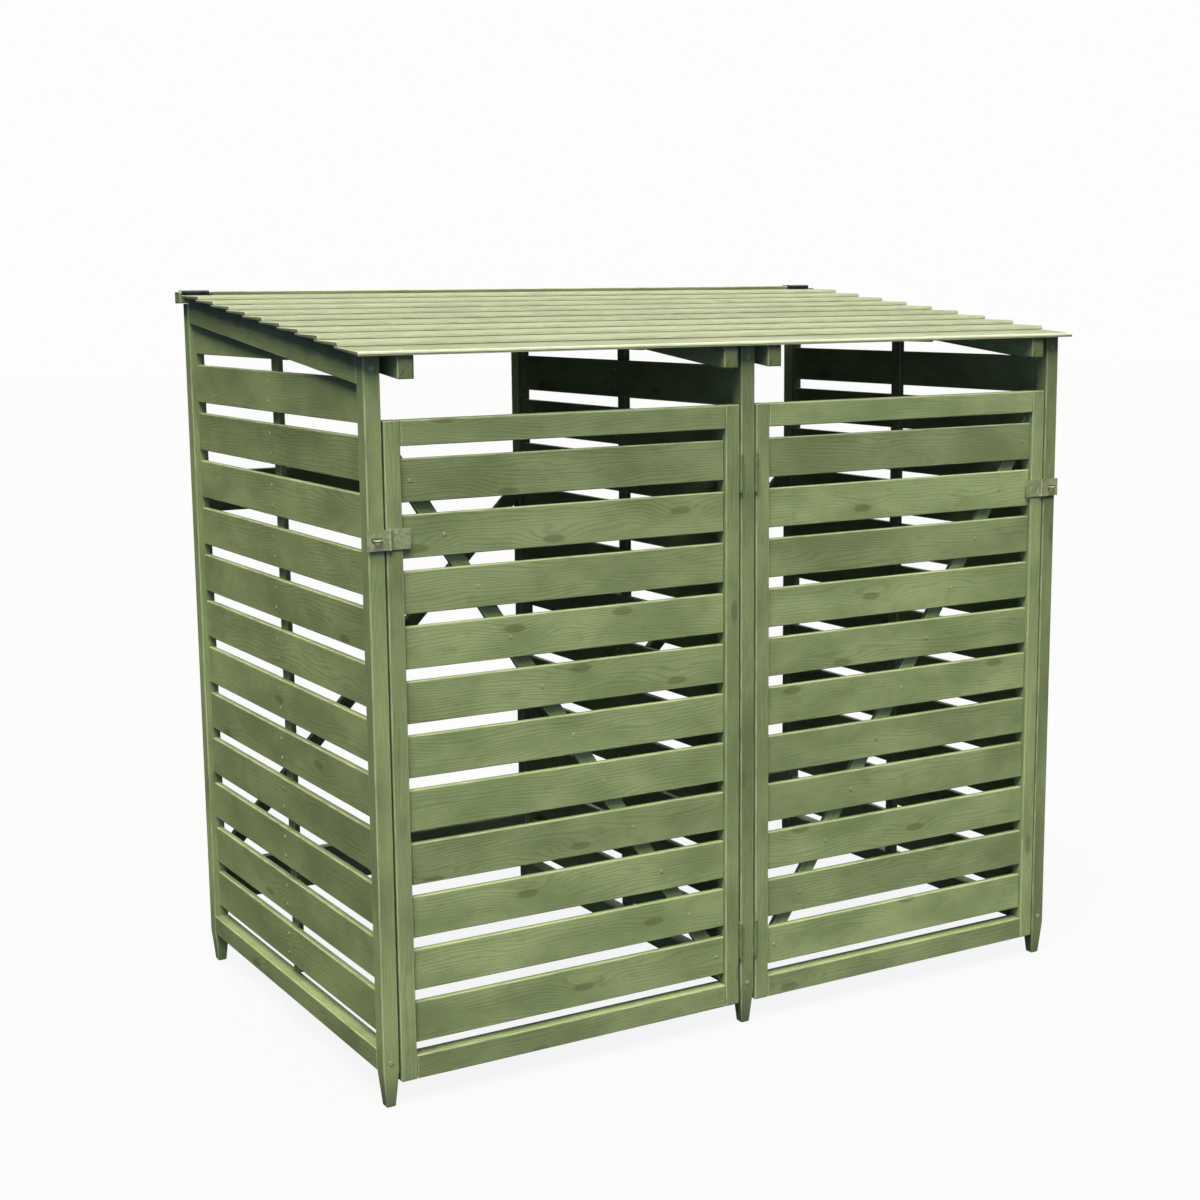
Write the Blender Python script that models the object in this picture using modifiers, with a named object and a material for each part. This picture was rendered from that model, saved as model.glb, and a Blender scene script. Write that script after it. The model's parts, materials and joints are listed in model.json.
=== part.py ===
"""Slatted timber store for two wheeled bins, with two front doors and a sloping board roof.

Metres, +Z up. The doors face -Y and X runs along the front. The origin is on the ground, at
the middle of the roof's outline seen from above.
"""

import math

import bmesh
import bpy
from mathutils import Vector

# Overall sizes.
WIDTH = 1.400  # over the outer posts
DEPTH = 0.833  # over the front and rear posts
EAVES_HEIGHT = 1.196  # top of the frame at the front face of the posts
ROOF_RISE = 0.1106  # rise of the roof for each metre it goes back
OVERHANG_SIDE = 0.015
OVERHANG_FRONT = 0.020

# Timber sections and gaps.
STOCK = 0.028  # square framing timber
TOUCH = 0.0003  # between pieces that bear on each other
EDGE = 0.0015  # planed arris of every board
FOOT_TAPER = 0.016
FOOT_END_SHARE = 0.62  # the post's width left at its tapered tip

# Side walls and divider.
WALL_RAIL_FOOT = 0.058  # ground to the bottom rail
BOTTOM_RAIL = 0.036
TOP_RAIL = 0.048
WALL_SLATS = 13
WALL_SLAT = 0.0688
WALL_GAP = 0.020
SLAT_THICKNESS = 0.012
WALL_SLAT_RECESS = 0.011  # behind the outer face of the wall's frame
BATTEN_THICKNESS = 0.012
BATTEN_SET_BACK = 0.016  # behind the middle of the wall

# Doors.
DOOR_FOOT = 0.040
DOOR_RAIL = 0.040
DOOR_SLATS = 11
DOOR_SLAT = 0.068
DOOR_GAP = 0.019
HINGE_SIDE_GAP = 0.0032
LATCH_SIDE_GAP = 0.003
DOOR_SLAT_RECESS = 0.006  # behind the front face of the door's frame
BRACE_CLEAR = 0.002  # between the brace's ends and the door's rails

# Roof, which is a lid.
ROOF_BOARDS = 10
BOARD_LAP = 0.013
BOARD_THICK_EDGE = 0.007
BOARD_THIN_EDGE = 0.0035
BEARER_HEIGHT = 0.036
BEARER_FRONT = 0.015  # ahead of the posts' front faces
OUTER_BEARER_INSET = 0.022  # between a side wall's frame and its bearer
INNER_BEARER_INSET = 0.016  # between the divider's frame and a bearer
LID_GAP = 0.011  # between the last board and the rear rail

# Back.
REAR_RAIL_HEIGHT = 0.022
REAR_RAIL_STANDS_UP = 0.007  # above the last roof board
BACK_RAIL_HEIGHT = 0.076
BACK_RAIL_THICKNESS = 0.020
BACK_LOWER_RAIL_FOOT = 0.120
BACK_UPPER_RAIL_FOOT = 0.883
BACK_BRACE_THICKNESS = 0.016
BACK_BRACE_BITE = 0.006  # how far the brace's foot runs into the lower rail
BACK_BRACE_TOP_BITE = 0.022  # how far its top runs into the upper rail

# Hinges of the doors.
HINGE_LENGTH = 0.065
HINGE_FROM_DOOR_END = 0.116  # door's end to the middle of its hinge
HINGE_LEAF = 0.0011
HINGE_LEAF_WIDTH = 0.022
KNUCKLE_RADIUS = 0.003
PIN_RADIUS = 0.0014
BORE_CLEARANCE = 0.0003

# Hinges of the lid.
LID_HINGE_LENGTH = 0.050
LID_HINGE_FROM_END = 0.004  # the rear rail's end to the hinge
LID_HINGE_LEAF = 0.0016
LID_HINGE_LEAF_WIDTH = 0.024
LID_KNUCKLE_RADIUS = 0.0045
LID_PIN_RADIUS = 0.002

# Hasps.
HASP_CENTRE = 0.915  # above the ground
HASP_HEIGHT = 0.032
HASP_PLATE = 0.0016
HASP_AXIS_INSET = 0.005  # the pin, in from the door's latch edge
HASP_LEAF_REACH = 0.035
HASP_STRAP_REACH = 0.039
STAPLE_WIRE_RADIUS = 0.0018
STAPLE_STANDS_OUT = 0.013
STAPLE_LEG_SPACING = 0.010
STAPLE_PLATE_WIDTH = 0.022
STAPLE_PLATE_HEIGHT = 0.020
SLOT_HEIGHT = 0.0072
SLOT_CLEARANCE = 0.0012

# Worked out from the sizes above.
HALF_WIDTH = WIDTH / 2
HALF_LENGTH = HALF_WIDTH + OVERHANG_SIDE  # of the roof boards and the rear rail
ROOF_ANGLE = math.atan(ROOF_RISE)
ROOF_DEPTH = OVERHANG_FRONT + DEPTH
FRONT = -ROOF_DEPTH / 2 + OVERHANG_FRONT  # front faces of the posts and doors
REAR = FRONT + DEPTH
MIDDLE = (FRONT + REAR) / 2
LID_REAR = REAR - STOCK - LID_GAP
DOOR_TOP = (
    DOOR_FOOT + 2 * DOOR_RAIL + DOOR_SLATS * (DOOR_SLAT + DOOR_GAP) + DOOR_GAP
)
HINGE_X = STOCK / 2 + HINGE_SIDE_GAP / 2
HINGE_Y = FRONT - TOUCH - KNUCKLE_RADIUS
DOOR_HINGE_EDGE = STOCK / 2 + HINGE_SIDE_GAP
DOOR_LATCH_EDGE = HALF_WIDTH - STOCK - LATCH_SIDE_GAP
HASP_X = DOOR_LATCH_EDGE - HASP_AXIS_INSET
HASP_Y = HINGE_Y
STAPLE_X = HALF_WIDTH - STOCK / 2
SIDES = {"left": -1, "right": 1}


def frame_top(y):
    """Height of the frame's sloping top, which the roof lies on."""
    return EAVES_HEIGHT + ROOF_RISE * (y - FRONT)


LID_TOP = frame_top(LID_REAR) + TOUCH + BOARD_THIN_EDGE  # at the last board's rear edge
REAR_RAIL_TOP = LID_TOP + REAR_RAIL_STANDS_UP
REAR_RAIL_FOOT = REAR_RAIL_TOP - REAR_RAIL_HEIGHT
LID_HINGE_Y = LID_REAR + LID_GAP / 2
LID_HINGE_Z = (LID_TOP + REAR_RAIL_TOP) / 2 + TOUCH + LID_HINGE_LEAF / 2


def clear_scene():
    for obj in list(bpy.data.objects):
        bpy.data.objects.remove(obj, do_unlink=True)


def make_collection(name):
    collection = bpy.data.collections.new(name)
    bpy.context.scene.collection.children.link(collection)
    return collection


def make_material(name, colour, roughness, metallic=0.0):
    material = bpy.data.materials.new(name)
    material.use_nodes = True
    shader = material.node_tree.nodes["Principled BSDF"]
    shader.inputs["Base Color"].default_value = (*colour, 1.0)
    shader.inputs["Roughness"].default_value = roughness
    shader.inputs["Metallic"].default_value = metallic
    return material


clear_scene()
PARTS = make_collection("bin_store")
CUTTERS = make_collection("cutters")
DOOR_TIMBER = make_material("stained_door_timber", (0.19, 0.24, 0.10), 0.75)
WALL_TIMBER = make_material("stained_wall_timber", (0.14, 0.18, 0.07), 0.78)
ROOF_TIMBER = make_material("stained_roof_boards", (0.50, 0.58, 0.36), 0.70)
FRAME_TIMBER = make_material("stained_framing", (0.16, 0.20, 0.085), 0.76)
ZINC = make_material("zinc_plated_steel", (0.55, 0.56, 0.50), 0.42, 1.0)
PAINTED_STEEL = make_material("painted_hinge_steel", (0.17, 0.20, 0.10), 0.55, 0.4)
BLACK_STEEL = make_material("black_japanned_steel", (0.012, 0.013, 0.010), 0.45)


def place(name, mesh, at, material=None, parent=None, turn=(0.0, 0.0, 0.0)):
    """A new object with its origin at the world point at, under parent if one is given."""
    obj = bpy.data.objects.new(name, mesh)
    PARTS.objects.link(obj)
    if material and not mesh.materials:
        mesh.materials.append(material)
    obj.parent = parent
    obj.location = Vector(at) - (parent.location if parent else Vector())
    obj.rotation_euler = turn
    return obj


def make_axis(name, at):
    """An empty on a joint's axis, which the moving pieces hang from."""
    axis = bpy.data.objects.new(name, None)
    axis.location = at
    PARTS.objects.link(axis)
    return axis


def box_mesh(name, size):
    """A box centred on its origin."""
    shape = bmesh.new()
    bmesh.ops.create_cube(shape, size=1.0)
    bmesh.ops.scale(shape, vec=size, verts=shape.verts)
    mesh = bpy.data.meshes.new(name)
    shape.to_mesh(mesh)
    shape.free()
    return mesh


def round_edges(obj, width=EDGE):
    bevel = obj.modifiers.new("arris", "BEVEL")
    bevel.width = width
    bevel.segments = 1
    bevel.limit_method = "ANGLE"
    bevel.angle_limit = math.radians(40)


def box(name, low, high, material, parent=None, edge=EDGE):
    """A box between two world corners, with its long edges eased."""
    low, high = Vector(low), Vector(high)
    obj = place(name, box_mesh(name, high - low), (low + high) / 2, material, parent)
    if edge:
        round_edges(obj, edge)
    return obj


def rod_mesh(name, radius, length, sides=20):
    """A cylinder along Z, centred on its origin."""
    shape = bmesh.new()
    bmesh.ops.create_cone(
        shape, cap_ends=True, segments=sides, radius1=radius, radius2=radius, depth=length
    )
    mesh = bpy.data.meshes.new(name)
    shape.to_mesh(mesh)
    shape.free()
    mesh.shade_smooth()
    mesh.set_sharp_from_angle(angle=math.radians(40))
    return mesh


def as_tool(obj):
    """Moves an object to the cutters, so that it only shapes others."""
    PARTS.objects.unlink(obj)
    CUTTERS.objects.link(obj)
    obj.hide_render = True
    obj.display_type = "WIRE"
    return obj


def boolean(obj, tool, operation):
    modifier = obj.modifiers.new(operation.lower(), "BOOLEAN")
    modifier.operation = operation
    modifier.object = tool
    modifier.solver = "EXACT"


def join(obj, tool):
    boolean(obj, as_tool(tool), "UNION")


def cut(obj, tool):
    boolean(obj, as_tool(tool), "DIFFERENCE")


def make_post(name, x, y):
    """A square post whose foot is tapered to a blunt tip.

    A front post's top follows the roof, and a rear post's carries the rear rail.
    """
    shape = bmesh.new()
    bmesh.ops.create_cube(shape, size=1.0)
    bmesh.ops.scale(shape, vec=(STOCK, STOCK, 1.0), verts=shape.verts)
    sole = min(shape.faces, key=lambda face: face.calc_center_median().z)
    for corner in shape.verts:
        top = (frame_top(y + corner.co.y) if y < MIDDLE else REAR_RAIL_FOOT) - TOUCH
        corner.co.z = top if corner.co.z > 0 else FOOT_TAPER
    tip = bmesh.ops.extrude_face_region(shape, geom=[sole])["geom"]
    bmesh.ops.delete(shape, geom=[sole], context="FACES_ONLY")
    for corner in (item for item in tip if isinstance(item, bmesh.types.BMVert)):
        corner.co.x *= FOOT_END_SHARE
        corner.co.y *= FOOT_END_SHARE
        corner.co.z = 0.0
    bmesh.ops.recalc_face_normals(shape, faces=shape.faces)
    mesh = bpy.data.meshes.new(name)
    shape.to_mesh(mesh)
    shape.free()
    post = place(name, mesh, (x, y, 0.0), FRAME_TIMBER)
    round_edges(post)
    return post


def sloping_bar(name, x_low, x_high, y_low, y_high, drop, height, material, parent=None):
    """A bar along Y whose top runs parallel to the roof, drop below the frame's top."""
    shape = bmesh.new()
    bmesh.ops.create_cube(shape, size=1.0)
    for corner in shape.verts:
        corner.co.x = x_high if corner.co.x > 0 else x_low
        corner.co.y = y_high if corner.co.y > 0 else y_low
        below = drop if corner.co.z > 0 else drop + height
        corner.co.z = frame_top(corner.co.y) - below
    middle = Vector(((x_low + x_high) / 2, (y_low + y_high) / 2, 0.0))
    middle.z = frame_top(middle.y) - drop - height / 2
    bmesh.ops.translate(shape, vec=-middle, verts=shape.verts)
    mesh = bpy.data.meshes.new(name)
    shape.to_mesh(mesh)
    shape.free()
    bar = place(name, mesh, middle, material, parent)
    round_edges(bar)
    return bar


def stack_slats(obj, count, pitch):
    array = obj.modifiers.new("slats", "ARRAY")
    array.count = count
    array.use_relative_offset = False
    array.use_constant_offset = True
    array.constant_offset_displace = (0.0, 0.0, pitch)
    array.use_merge_vertices = False


def make_wall(name, outer_x, inward):
    """A side frame: two posts, a sloping top rail, a bottom rail and slats on a batten.

    outer_x is its outer face, and inward is the X direction from there to its batten.
    """
    centre_x = outer_x + inward * STOCK / 2
    make_post(f"{name}_front_post", centre_x, FRONT + STOCK / 2)
    make_post(f"{name}_rear_post", centre_x, REAR - STOCK / 2)
    low_x, high_x = sorted((outer_x, outer_x + inward * STOCK))
    low_y, high_y = FRONT + STOCK + TOUCH, REAR - STOCK - TOUCH
    sloping_bar(
        f"{name}_top_rail", low_x, high_x, low_y, high_y, TOUCH, TOP_RAIL, FRAME_TIMBER
    )
    rail_top = WALL_RAIL_FOOT + BOTTOM_RAIL
    box(
        f"{name}_bottom_rail",
        (low_x, low_y, WALL_RAIL_FOOT),
        (high_x, high_y, rail_top),
        FRAME_TIMBER,
    )

    def from_face(near, far):
        """Low and high X of what lies this far behind the wall's outer face."""
        return sorted((outer_x + inward * near, outer_x + inward * far))

    slat_back = WALL_SLAT_RECESS + SLAT_THICKNESS
    slat_low, slat_high = from_face(WALL_SLAT_RECESS, slat_back)
    first = rail_top + WALL_GAP
    slats = box(
        f"{name}_slats",
        (slat_low, low_y, first),
        (slat_high, high_y, first + WALL_SLAT),
        WALL_TIMBER,
    )
    stack_slats(slats, WALL_SLATS, WALL_SLAT + WALL_GAP)
    batten_low, batten_high = from_face(slat_back - TOUCH, slat_back + BATTEN_THICKNESS)
    batten_y = MIDDLE + BATTEN_SET_BACK
    batten = box(
        f"{name}_batten",
        (batten_low, batten_y - STOCK / 2, rail_top + TOUCH),
        (batten_high, batten_y + STOCK / 2, frame_top(REAR)),
        None,
    )
    join(slats, batten)
    above = TOP_RAIL + 2 * TOUCH
    rake = sloping_bar(
        f"{name}_rake_cut",
        low_x - STOCK,
        high_x + STOCK,
        FRONT - STOCK,
        REAR + STOCK,
        above - 10 * STOCK,
        10 * STOCK,
        None,
    )
    rake.modifiers.clear()
    cut(slats, rake)


def brace_mesh(name, foot, top, thickness, height):
    """A bar in the XZ plane between two points, its ends cut upright to fit between posts.

    Its origin is that of the points, and its middle lies on y = 0.
    """
    shape = bmesh.new()
    bmesh.ops.create_cube(shape, size=1.0)
    start, end = sorted((foot, top))
    for corner in shape.verts:
        x, middle = end if corner.co.x > 0 else start
        corner.co.x = x
        corner.co.y = math.copysign(thickness / 2, corner.co.y)
        corner.co.z = middle + math.copysign(height / 2, corner.co.z)
    mesh = bpy.data.meshes.new(name)
    shape.to_mesh(mesh)
    shape.free()
    return mesh


def make_door(side):
    """A door of two stiles, two rails and slats on a diagonal brace, under its hinge axis."""
    sign = SIDES[side]
    axis = make_axis(f"{side}_door_axis", (sign * HINGE_X, HINGE_Y, 0.0))

    def piece(name, x_edges, y_edges, z_edges):
        x_low, x_high = sorted(sign * x for x in x_edges)
        low, high = zip((x_low, x_high), y_edges, z_edges)
        return box(f"{side}_door_{name}", low, high, DOOR_TIMBER, axis)

    back = FRONT + STOCK
    hinge_stile_edge = DOOR_HINGE_EDGE + STOCK
    latch_stile_edge = DOOR_LATCH_EDGE - STOCK
    across = (hinge_stile_edge + TOUCH, latch_stile_edge - TOUCH)
    upright = (DOOR_FOOT, DOOR_TOP)
    piece("hinge_stile", (DOOR_HINGE_EDGE, hinge_stile_edge), (FRONT, back), upright)
    piece("latch_stile", (latch_stile_edge, DOOR_LATCH_EDGE), (FRONT, back), upright)
    piece("bottom_rail", across, (FRONT, back), (DOOR_FOOT, DOOR_FOOT + DOOR_RAIL))
    piece("top_rail", across, (FRONT, back), (DOOR_TOP - DOOR_RAIL, DOOR_TOP))

    slat_front = FRONT + DOOR_SLAT_RECESS
    slat_back = slat_front + SLAT_THICKNESS
    rail_top, rail_foot = DOOR_FOOT + DOOR_RAIL, DOOR_TOP - DOOR_RAIL
    first = rail_top + DOOR_GAP
    slats = piece("slats", across, (slat_front, slat_back), (first, first + DOOR_SLAT))
    stack_slats(slats, DOOR_SLATS, DOOR_SLAT + DOOR_GAP)

    # The brace rises from the hinge side to the latch side, behind the slats.
    run = across[1] - across[0]
    rise = rail_foot - rail_top - 2 * BRACE_CLEAR
    tall = STOCK
    for _ in range(20):
        tall = STOCK * math.hypot(run, rise - tall) / run
    foot = (sign * across[0], rail_top + BRACE_CLEAR + tall / 2)
    top = (sign * across[1], rail_foot - BRACE_CLEAR - tall / 2)
    thickness = back - slat_back + TOUCH
    mesh = brace_mesh("door_brace", foot, top, thickness, tall)
    at = (0.0, back - thickness / 2, 0.0)
    brace = place(f"{side}_door_brace", mesh, at, None, axis)
    round_edges(brace)
    join(slats, brace)
    return axis


def make_board(name, y, lift, lid_axis, width):
    """A tapered roof board, whose front edge sits lift above the frame's slope."""
    shape = bmesh.new()
    bmesh.ops.create_cube(shape, size=1.0)
    for corner in shape.verts:
        corner.co.x *= 2 * HALF_LENGTH
        rear = corner.co.y > 0
        base = TOUCH if rear else lift
        thickness = BOARD_THIN_EDGE if rear else BOARD_THICK_EDGE
        corner.co.z = base + (thickness if corner.co.z > 0 else 0.0)
        corner.co.y = width if rear else 0.0
    mesh = bpy.data.meshes.new(name)
    shape.to_mesh(mesh)
    shape.free()
    turn = (ROOF_ANGLE, 0.0, 0.0)
    board = place(name, mesh, (0.0, y, frame_top(y)), ROOF_TIMBER, lid_axis, turn)
    round_edges(board, EDGE / 3)


def make_roof():
    """A lid of tapered boards that lap like tiles, nailed to bearers from front to back."""
    lid_axis = make_axis("lid_axis", (0.0, LID_HINGE_Y, LID_HINGE_Z))
    # A board's front face leans forward by its height up the slope.
    eaves = FRONT - OVERHANG_FRONT + (TOUCH + BOARD_THICK_EDGE) * math.sin(ROOF_ANGLE)
    step = ((LID_REAR - eaves) / math.cos(ROOF_ANGLE) - BOARD_LAP) / ROOF_BOARDS
    width = step + BOARD_LAP
    lift = TOUCH
    for number in range(ROOF_BOARDS):
        y = eaves + number * step * math.cos(ROOF_ANGLE)
        make_board(f"roof_board_{number + 1:02d}", y, lift, lid_axis, width)
        # The next board lies on this one's top, a step up its slope.
        front_top, rear_top = lift + BOARD_THICK_EDGE, TOUCH + BOARD_THIN_EDGE
        lift = front_top + (rear_top - front_top) * step / width + TOUCH

    wall_face = HALF_WIDTH - STOCK - OUTER_BEARER_INSET
    divider_face = STOCK / 2 + INNER_BEARER_INSET
    for side, sign in SIDES.items():
        for place_name, near, far in (
            ("outer", wall_face - STOCK, wall_face),
            ("inner", divider_face, divider_face + STOCK),
        ):
            x_low, x_high = sorted((sign * near, sign * far))
            sloping_bar(
                f"{side}_{place_name}_roof_bearer",
                x_low,
                x_high,
                FRONT - BEARER_FRONT,
                LID_REAR,
                TOUCH,
                BEARER_HEIGHT,
                FRAME_TIMBER,
                lid_axis,
            )
    return lid_axis


def make_back():
    """The rear rail on top of the rear posts, and two rails and a brace in each open bay."""
    box(
        "rear_top_rail",
        (-HALF_LENGTH, REAR - STOCK, REAR_RAIL_FOOT),
        (HALF_LENGTH, REAR, REAR_RAIL_TOP),
        FRAME_TIMBER,
    )
    outer, inner = HALF_WIDTH - STOCK - TOUCH, STOCK / 2 + TOUCH
    y = REAR - STOCK / 2
    lower_top = BACK_LOWER_RAIL_FOOT + BACK_RAIL_HEIGHT
    rise = BACK_UPPER_RAIL_FOOT + BACK_BRACE_TOP_BITE - lower_top + BACK_BRACE_BITE
    tall = STOCK
    for _ in range(20):
        tall = STOCK * math.hypot(outer - inner, rise - tall) / (outer - inner)
    foot = lower_top - BACK_BRACE_BITE + tall / 2
    # Both braces rise to the right.
    for side, low_x, high_x in (("left", -outer, -inner), ("right", inner, outer)):
        name = f"{side}_back_frame"

        def rail(rail_name, z):
            return box(
                rail_name,
                (low_x, y - BACK_RAIL_THICKNESS / 2, z),
                (high_x, y + BACK_RAIL_THICKNESS / 2, z + BACK_RAIL_HEIGHT),
                FRAME_TIMBER,
            )

        lower = rail(name, BACK_LOWER_RAIL_FOOT)
        join(lower, rail(f"{name}_upper_rail", BACK_UPPER_RAIL_FOOT))
        ends = (low_x, foot), (high_x, foot + rise - tall)
        mesh = brace_mesh("back_brace", *ends, BACK_BRACE_THICKNESS, tall)
        brace = place(f"{name}_brace", mesh, (0.0, y, 0.0))
        round_edges(brace)
        join(lower, brace)


def knuckle(name, at, length, radius=KNUCKLE_RADIUS, parent=None):
    return place(name, rod_mesh(name, radius, length), at, None, parent)


def make_hinge(name, side, z, axis):
    """A butt hinge: the frame's leaf holds the pin, and the door's leaf turns on it."""
    sign = SIDES[side]
    x, y = sign * HINGE_X, HINGE_Y
    third = HINGE_LENGTH / 3
    leaf_back = FRONT + HINGE_LEAF_WIDTH

    def leaf(leaf_name, face, tabs, parent):
        """A plate beside the joint's gap; face is its side that lies on timber."""
        x_low, x_high = sorted((face, face + math.copysign(HINGE_LEAF, x - face)))
        plate = box(
            leaf_name,
            (x_low, FRONT + TOUCH, z - HINGE_LENGTH / 2),
            (x_high, leaf_back, z + HINGE_LENGTH / 2),
            PAINTED_STEEL,
            parent,
            edge=0.0,
        )
        for number, (low, high) in enumerate(tabs):
            tab = box(
                f"{leaf_name}_tab_{number}",
                (x_low, y, low),
                (x_high, FRONT + 2 * TOUCH, high),
                None,
                parent,
                edge=0.0,
            )
            join(plate, tab)
            barrel = knuckle(
                f"{leaf_name}_knuckle_{number}", (x, y, (low + high) / 2), high - low, parent=parent
            )
            join(plate, barrel)
        return plate

    ends = (
        (z - HINGE_LENGTH / 2, z - third / 2 - TOUCH),
        (z + third / 2 + TOUCH, z + HINGE_LENGTH / 2),
    )
    post_face = sign * (STOCK / 2 + TOUCH)
    fixed = leaf(f"{name}_frame_leaf", post_face, ends, None)
    join(fixed, knuckle(f"{name}_pin", (x, y, z), HINGE_LENGTH - TOUCH, PIN_RADIUS))

    door_face = sign * (DOOR_HINGE_EDGE - TOUCH)
    moving = leaf(f"{name}_door_leaf", door_face, [(z - third / 2, z + third / 2)], axis)
    bore_radius = PIN_RADIUS + BORE_CLEARANCE
    cut(moving, knuckle(f"{name}_bore", (x, y, z), HINGE_LENGTH, bore_radius, axis))


def make_lid_hinge(side, lid_axis):
    """A butt hinge laid flat: one leaf on the rear rail's top, the other on the last board."""
    sign = SIDES[side]
    end = HALF_LENGTH - LID_HINGE_FROM_END
    centre_x = sign * (end - LID_HINGE_LENGTH / 2)
    third = LID_HINGE_LENGTH / 3
    low_x, high_x = centre_x - LID_HINGE_LENGTH / 2, centre_x + LID_HINGE_LENGTH / 2
    reach = LID_KNUCKLE_RADIUS + 2 * TOUCH

    def barrel(name, x_low, x_high, radius, parent):
        at = ((x_low + x_high) / 2, LID_HINGE_Y, LID_HINGE_Z)
        across = (0.0, math.pi / 2, 0.0)
        return place(name, rod_mesh(name, radius, x_high - x_low), at, None, parent, across)

    def leaf(name, y_edge, y_end, z_low, tabs, parent):
        """A plate from y_edge to y_end, whose tabs run on to knuckles on the axis."""
        near, far = sorted((y_edge, y_end))
        z_high = z_low + LID_HINGE_LEAF
        plate = box(name, (low_x, near, z_low), (high_x, far, z_high), BLACK_STEEL, parent, 0.0)
        for number, (x_low, x_high) in enumerate(tabs):
            tab_name = f"{name}_tab_{number}"
            near, far = sorted((y_edge + math.copysign(TOUCH, y_end - y_edge), LID_HINGE_Y))
            tab = box(tab_name, (x_low, near, z_low), (x_high, far, z_high), None, parent, 0.0)
            join(plate, tab)
            join(plate, barrel(f"{name}_knuckle_{number}", x_low, x_high, LID_KNUCKLE_RADIUS, parent))
        return plate

    name = f"{side}_lid_hinge"
    ends = (
        (low_x, centre_x - third / 2 - TOUCH),
        (centre_x + third / 2 + TOUCH, high_x),
    )
    rail_edge = LID_HINGE_Y + reach
    fixed = leaf(
        f"{name}_frame_leaf",
        rail_edge,
        rail_edge + LID_HINGE_LEAF_WIDTH - reach,
        REAR_RAIL_TOP + TOUCH,
        ends,
        None,
    )
    join(fixed, barrel(f"{name}_pin", low_x + TOUCH, high_x - TOUCH, LID_PIN_RADIUS, None))
    board_edge = LID_HINGE_Y - reach
    moving = leaf(
        f"{name}_lid_leaf",
        board_edge,
        board_edge - LID_HINGE_LEAF_WIDTH + reach,
        LID_TOP + TOUCH,
        [(centre_x - third / 2, centre_x + third / 2)],
        lid_axis,
    )
    bore_radius = LID_PIN_RADIUS + BORE_CLEARANCE
    cut(moving, barrel(f"{name}_bore", low_x, high_x, bore_radius, lid_axis))


def staple_mesh(name):
    """A U of round wire that stands out along -Y, its legs spaced along X."""
    curve = bpy.data.curves.new(name, "CURVE")
    curve.dimensions = "3D"
    curve.bevel_depth = STAPLE_WIRE_RADIUS
    curve.bevel_resolution = 3
    curve.use_fill_caps = True
    half = STAPLE_LEG_SPACING / 2
    bend_y = -(STAPLE_STANDS_OUT - STAPLE_WIRE_RADIUS - half)
    turns = 8
    bend = [
        (-half * math.cos(math.pi * i / turns), bend_y - half * math.sin(math.pi * i / turns))
        for i in range(turns + 1)
    ]
    route = [(-half, 0.0), *bend, (half, 0.0)]
    spline = curve.splines.new("POLY")
    spline.points.add(len(route) - 1)
    for point, (x, y) in zip(spline.points, route):
        point.co = (x, y, 0.0, 1.0)
    holder = bpy.data.objects.new(name, curve)
    PARTS.objects.link(holder)
    bpy.context.view_layer.update()
    graph = bpy.context.evaluated_depsgraph_get()
    mesh = bpy.data.meshes.new_from_object(holder.evaluated_get(graph))
    bpy.data.objects.remove(holder)
    bpy.data.curves.remove(curve)
    shape = bmesh.new()
    shape.from_mesh(mesh)
    bmesh.ops.remove_doubles(shape, verts=shape.verts, dist=1e-5)
    bmesh.ops.recalc_face_normals(shape, faces=shape.faces)
    shape.to_mesh(mesh)
    shape.free()
    return mesh


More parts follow.
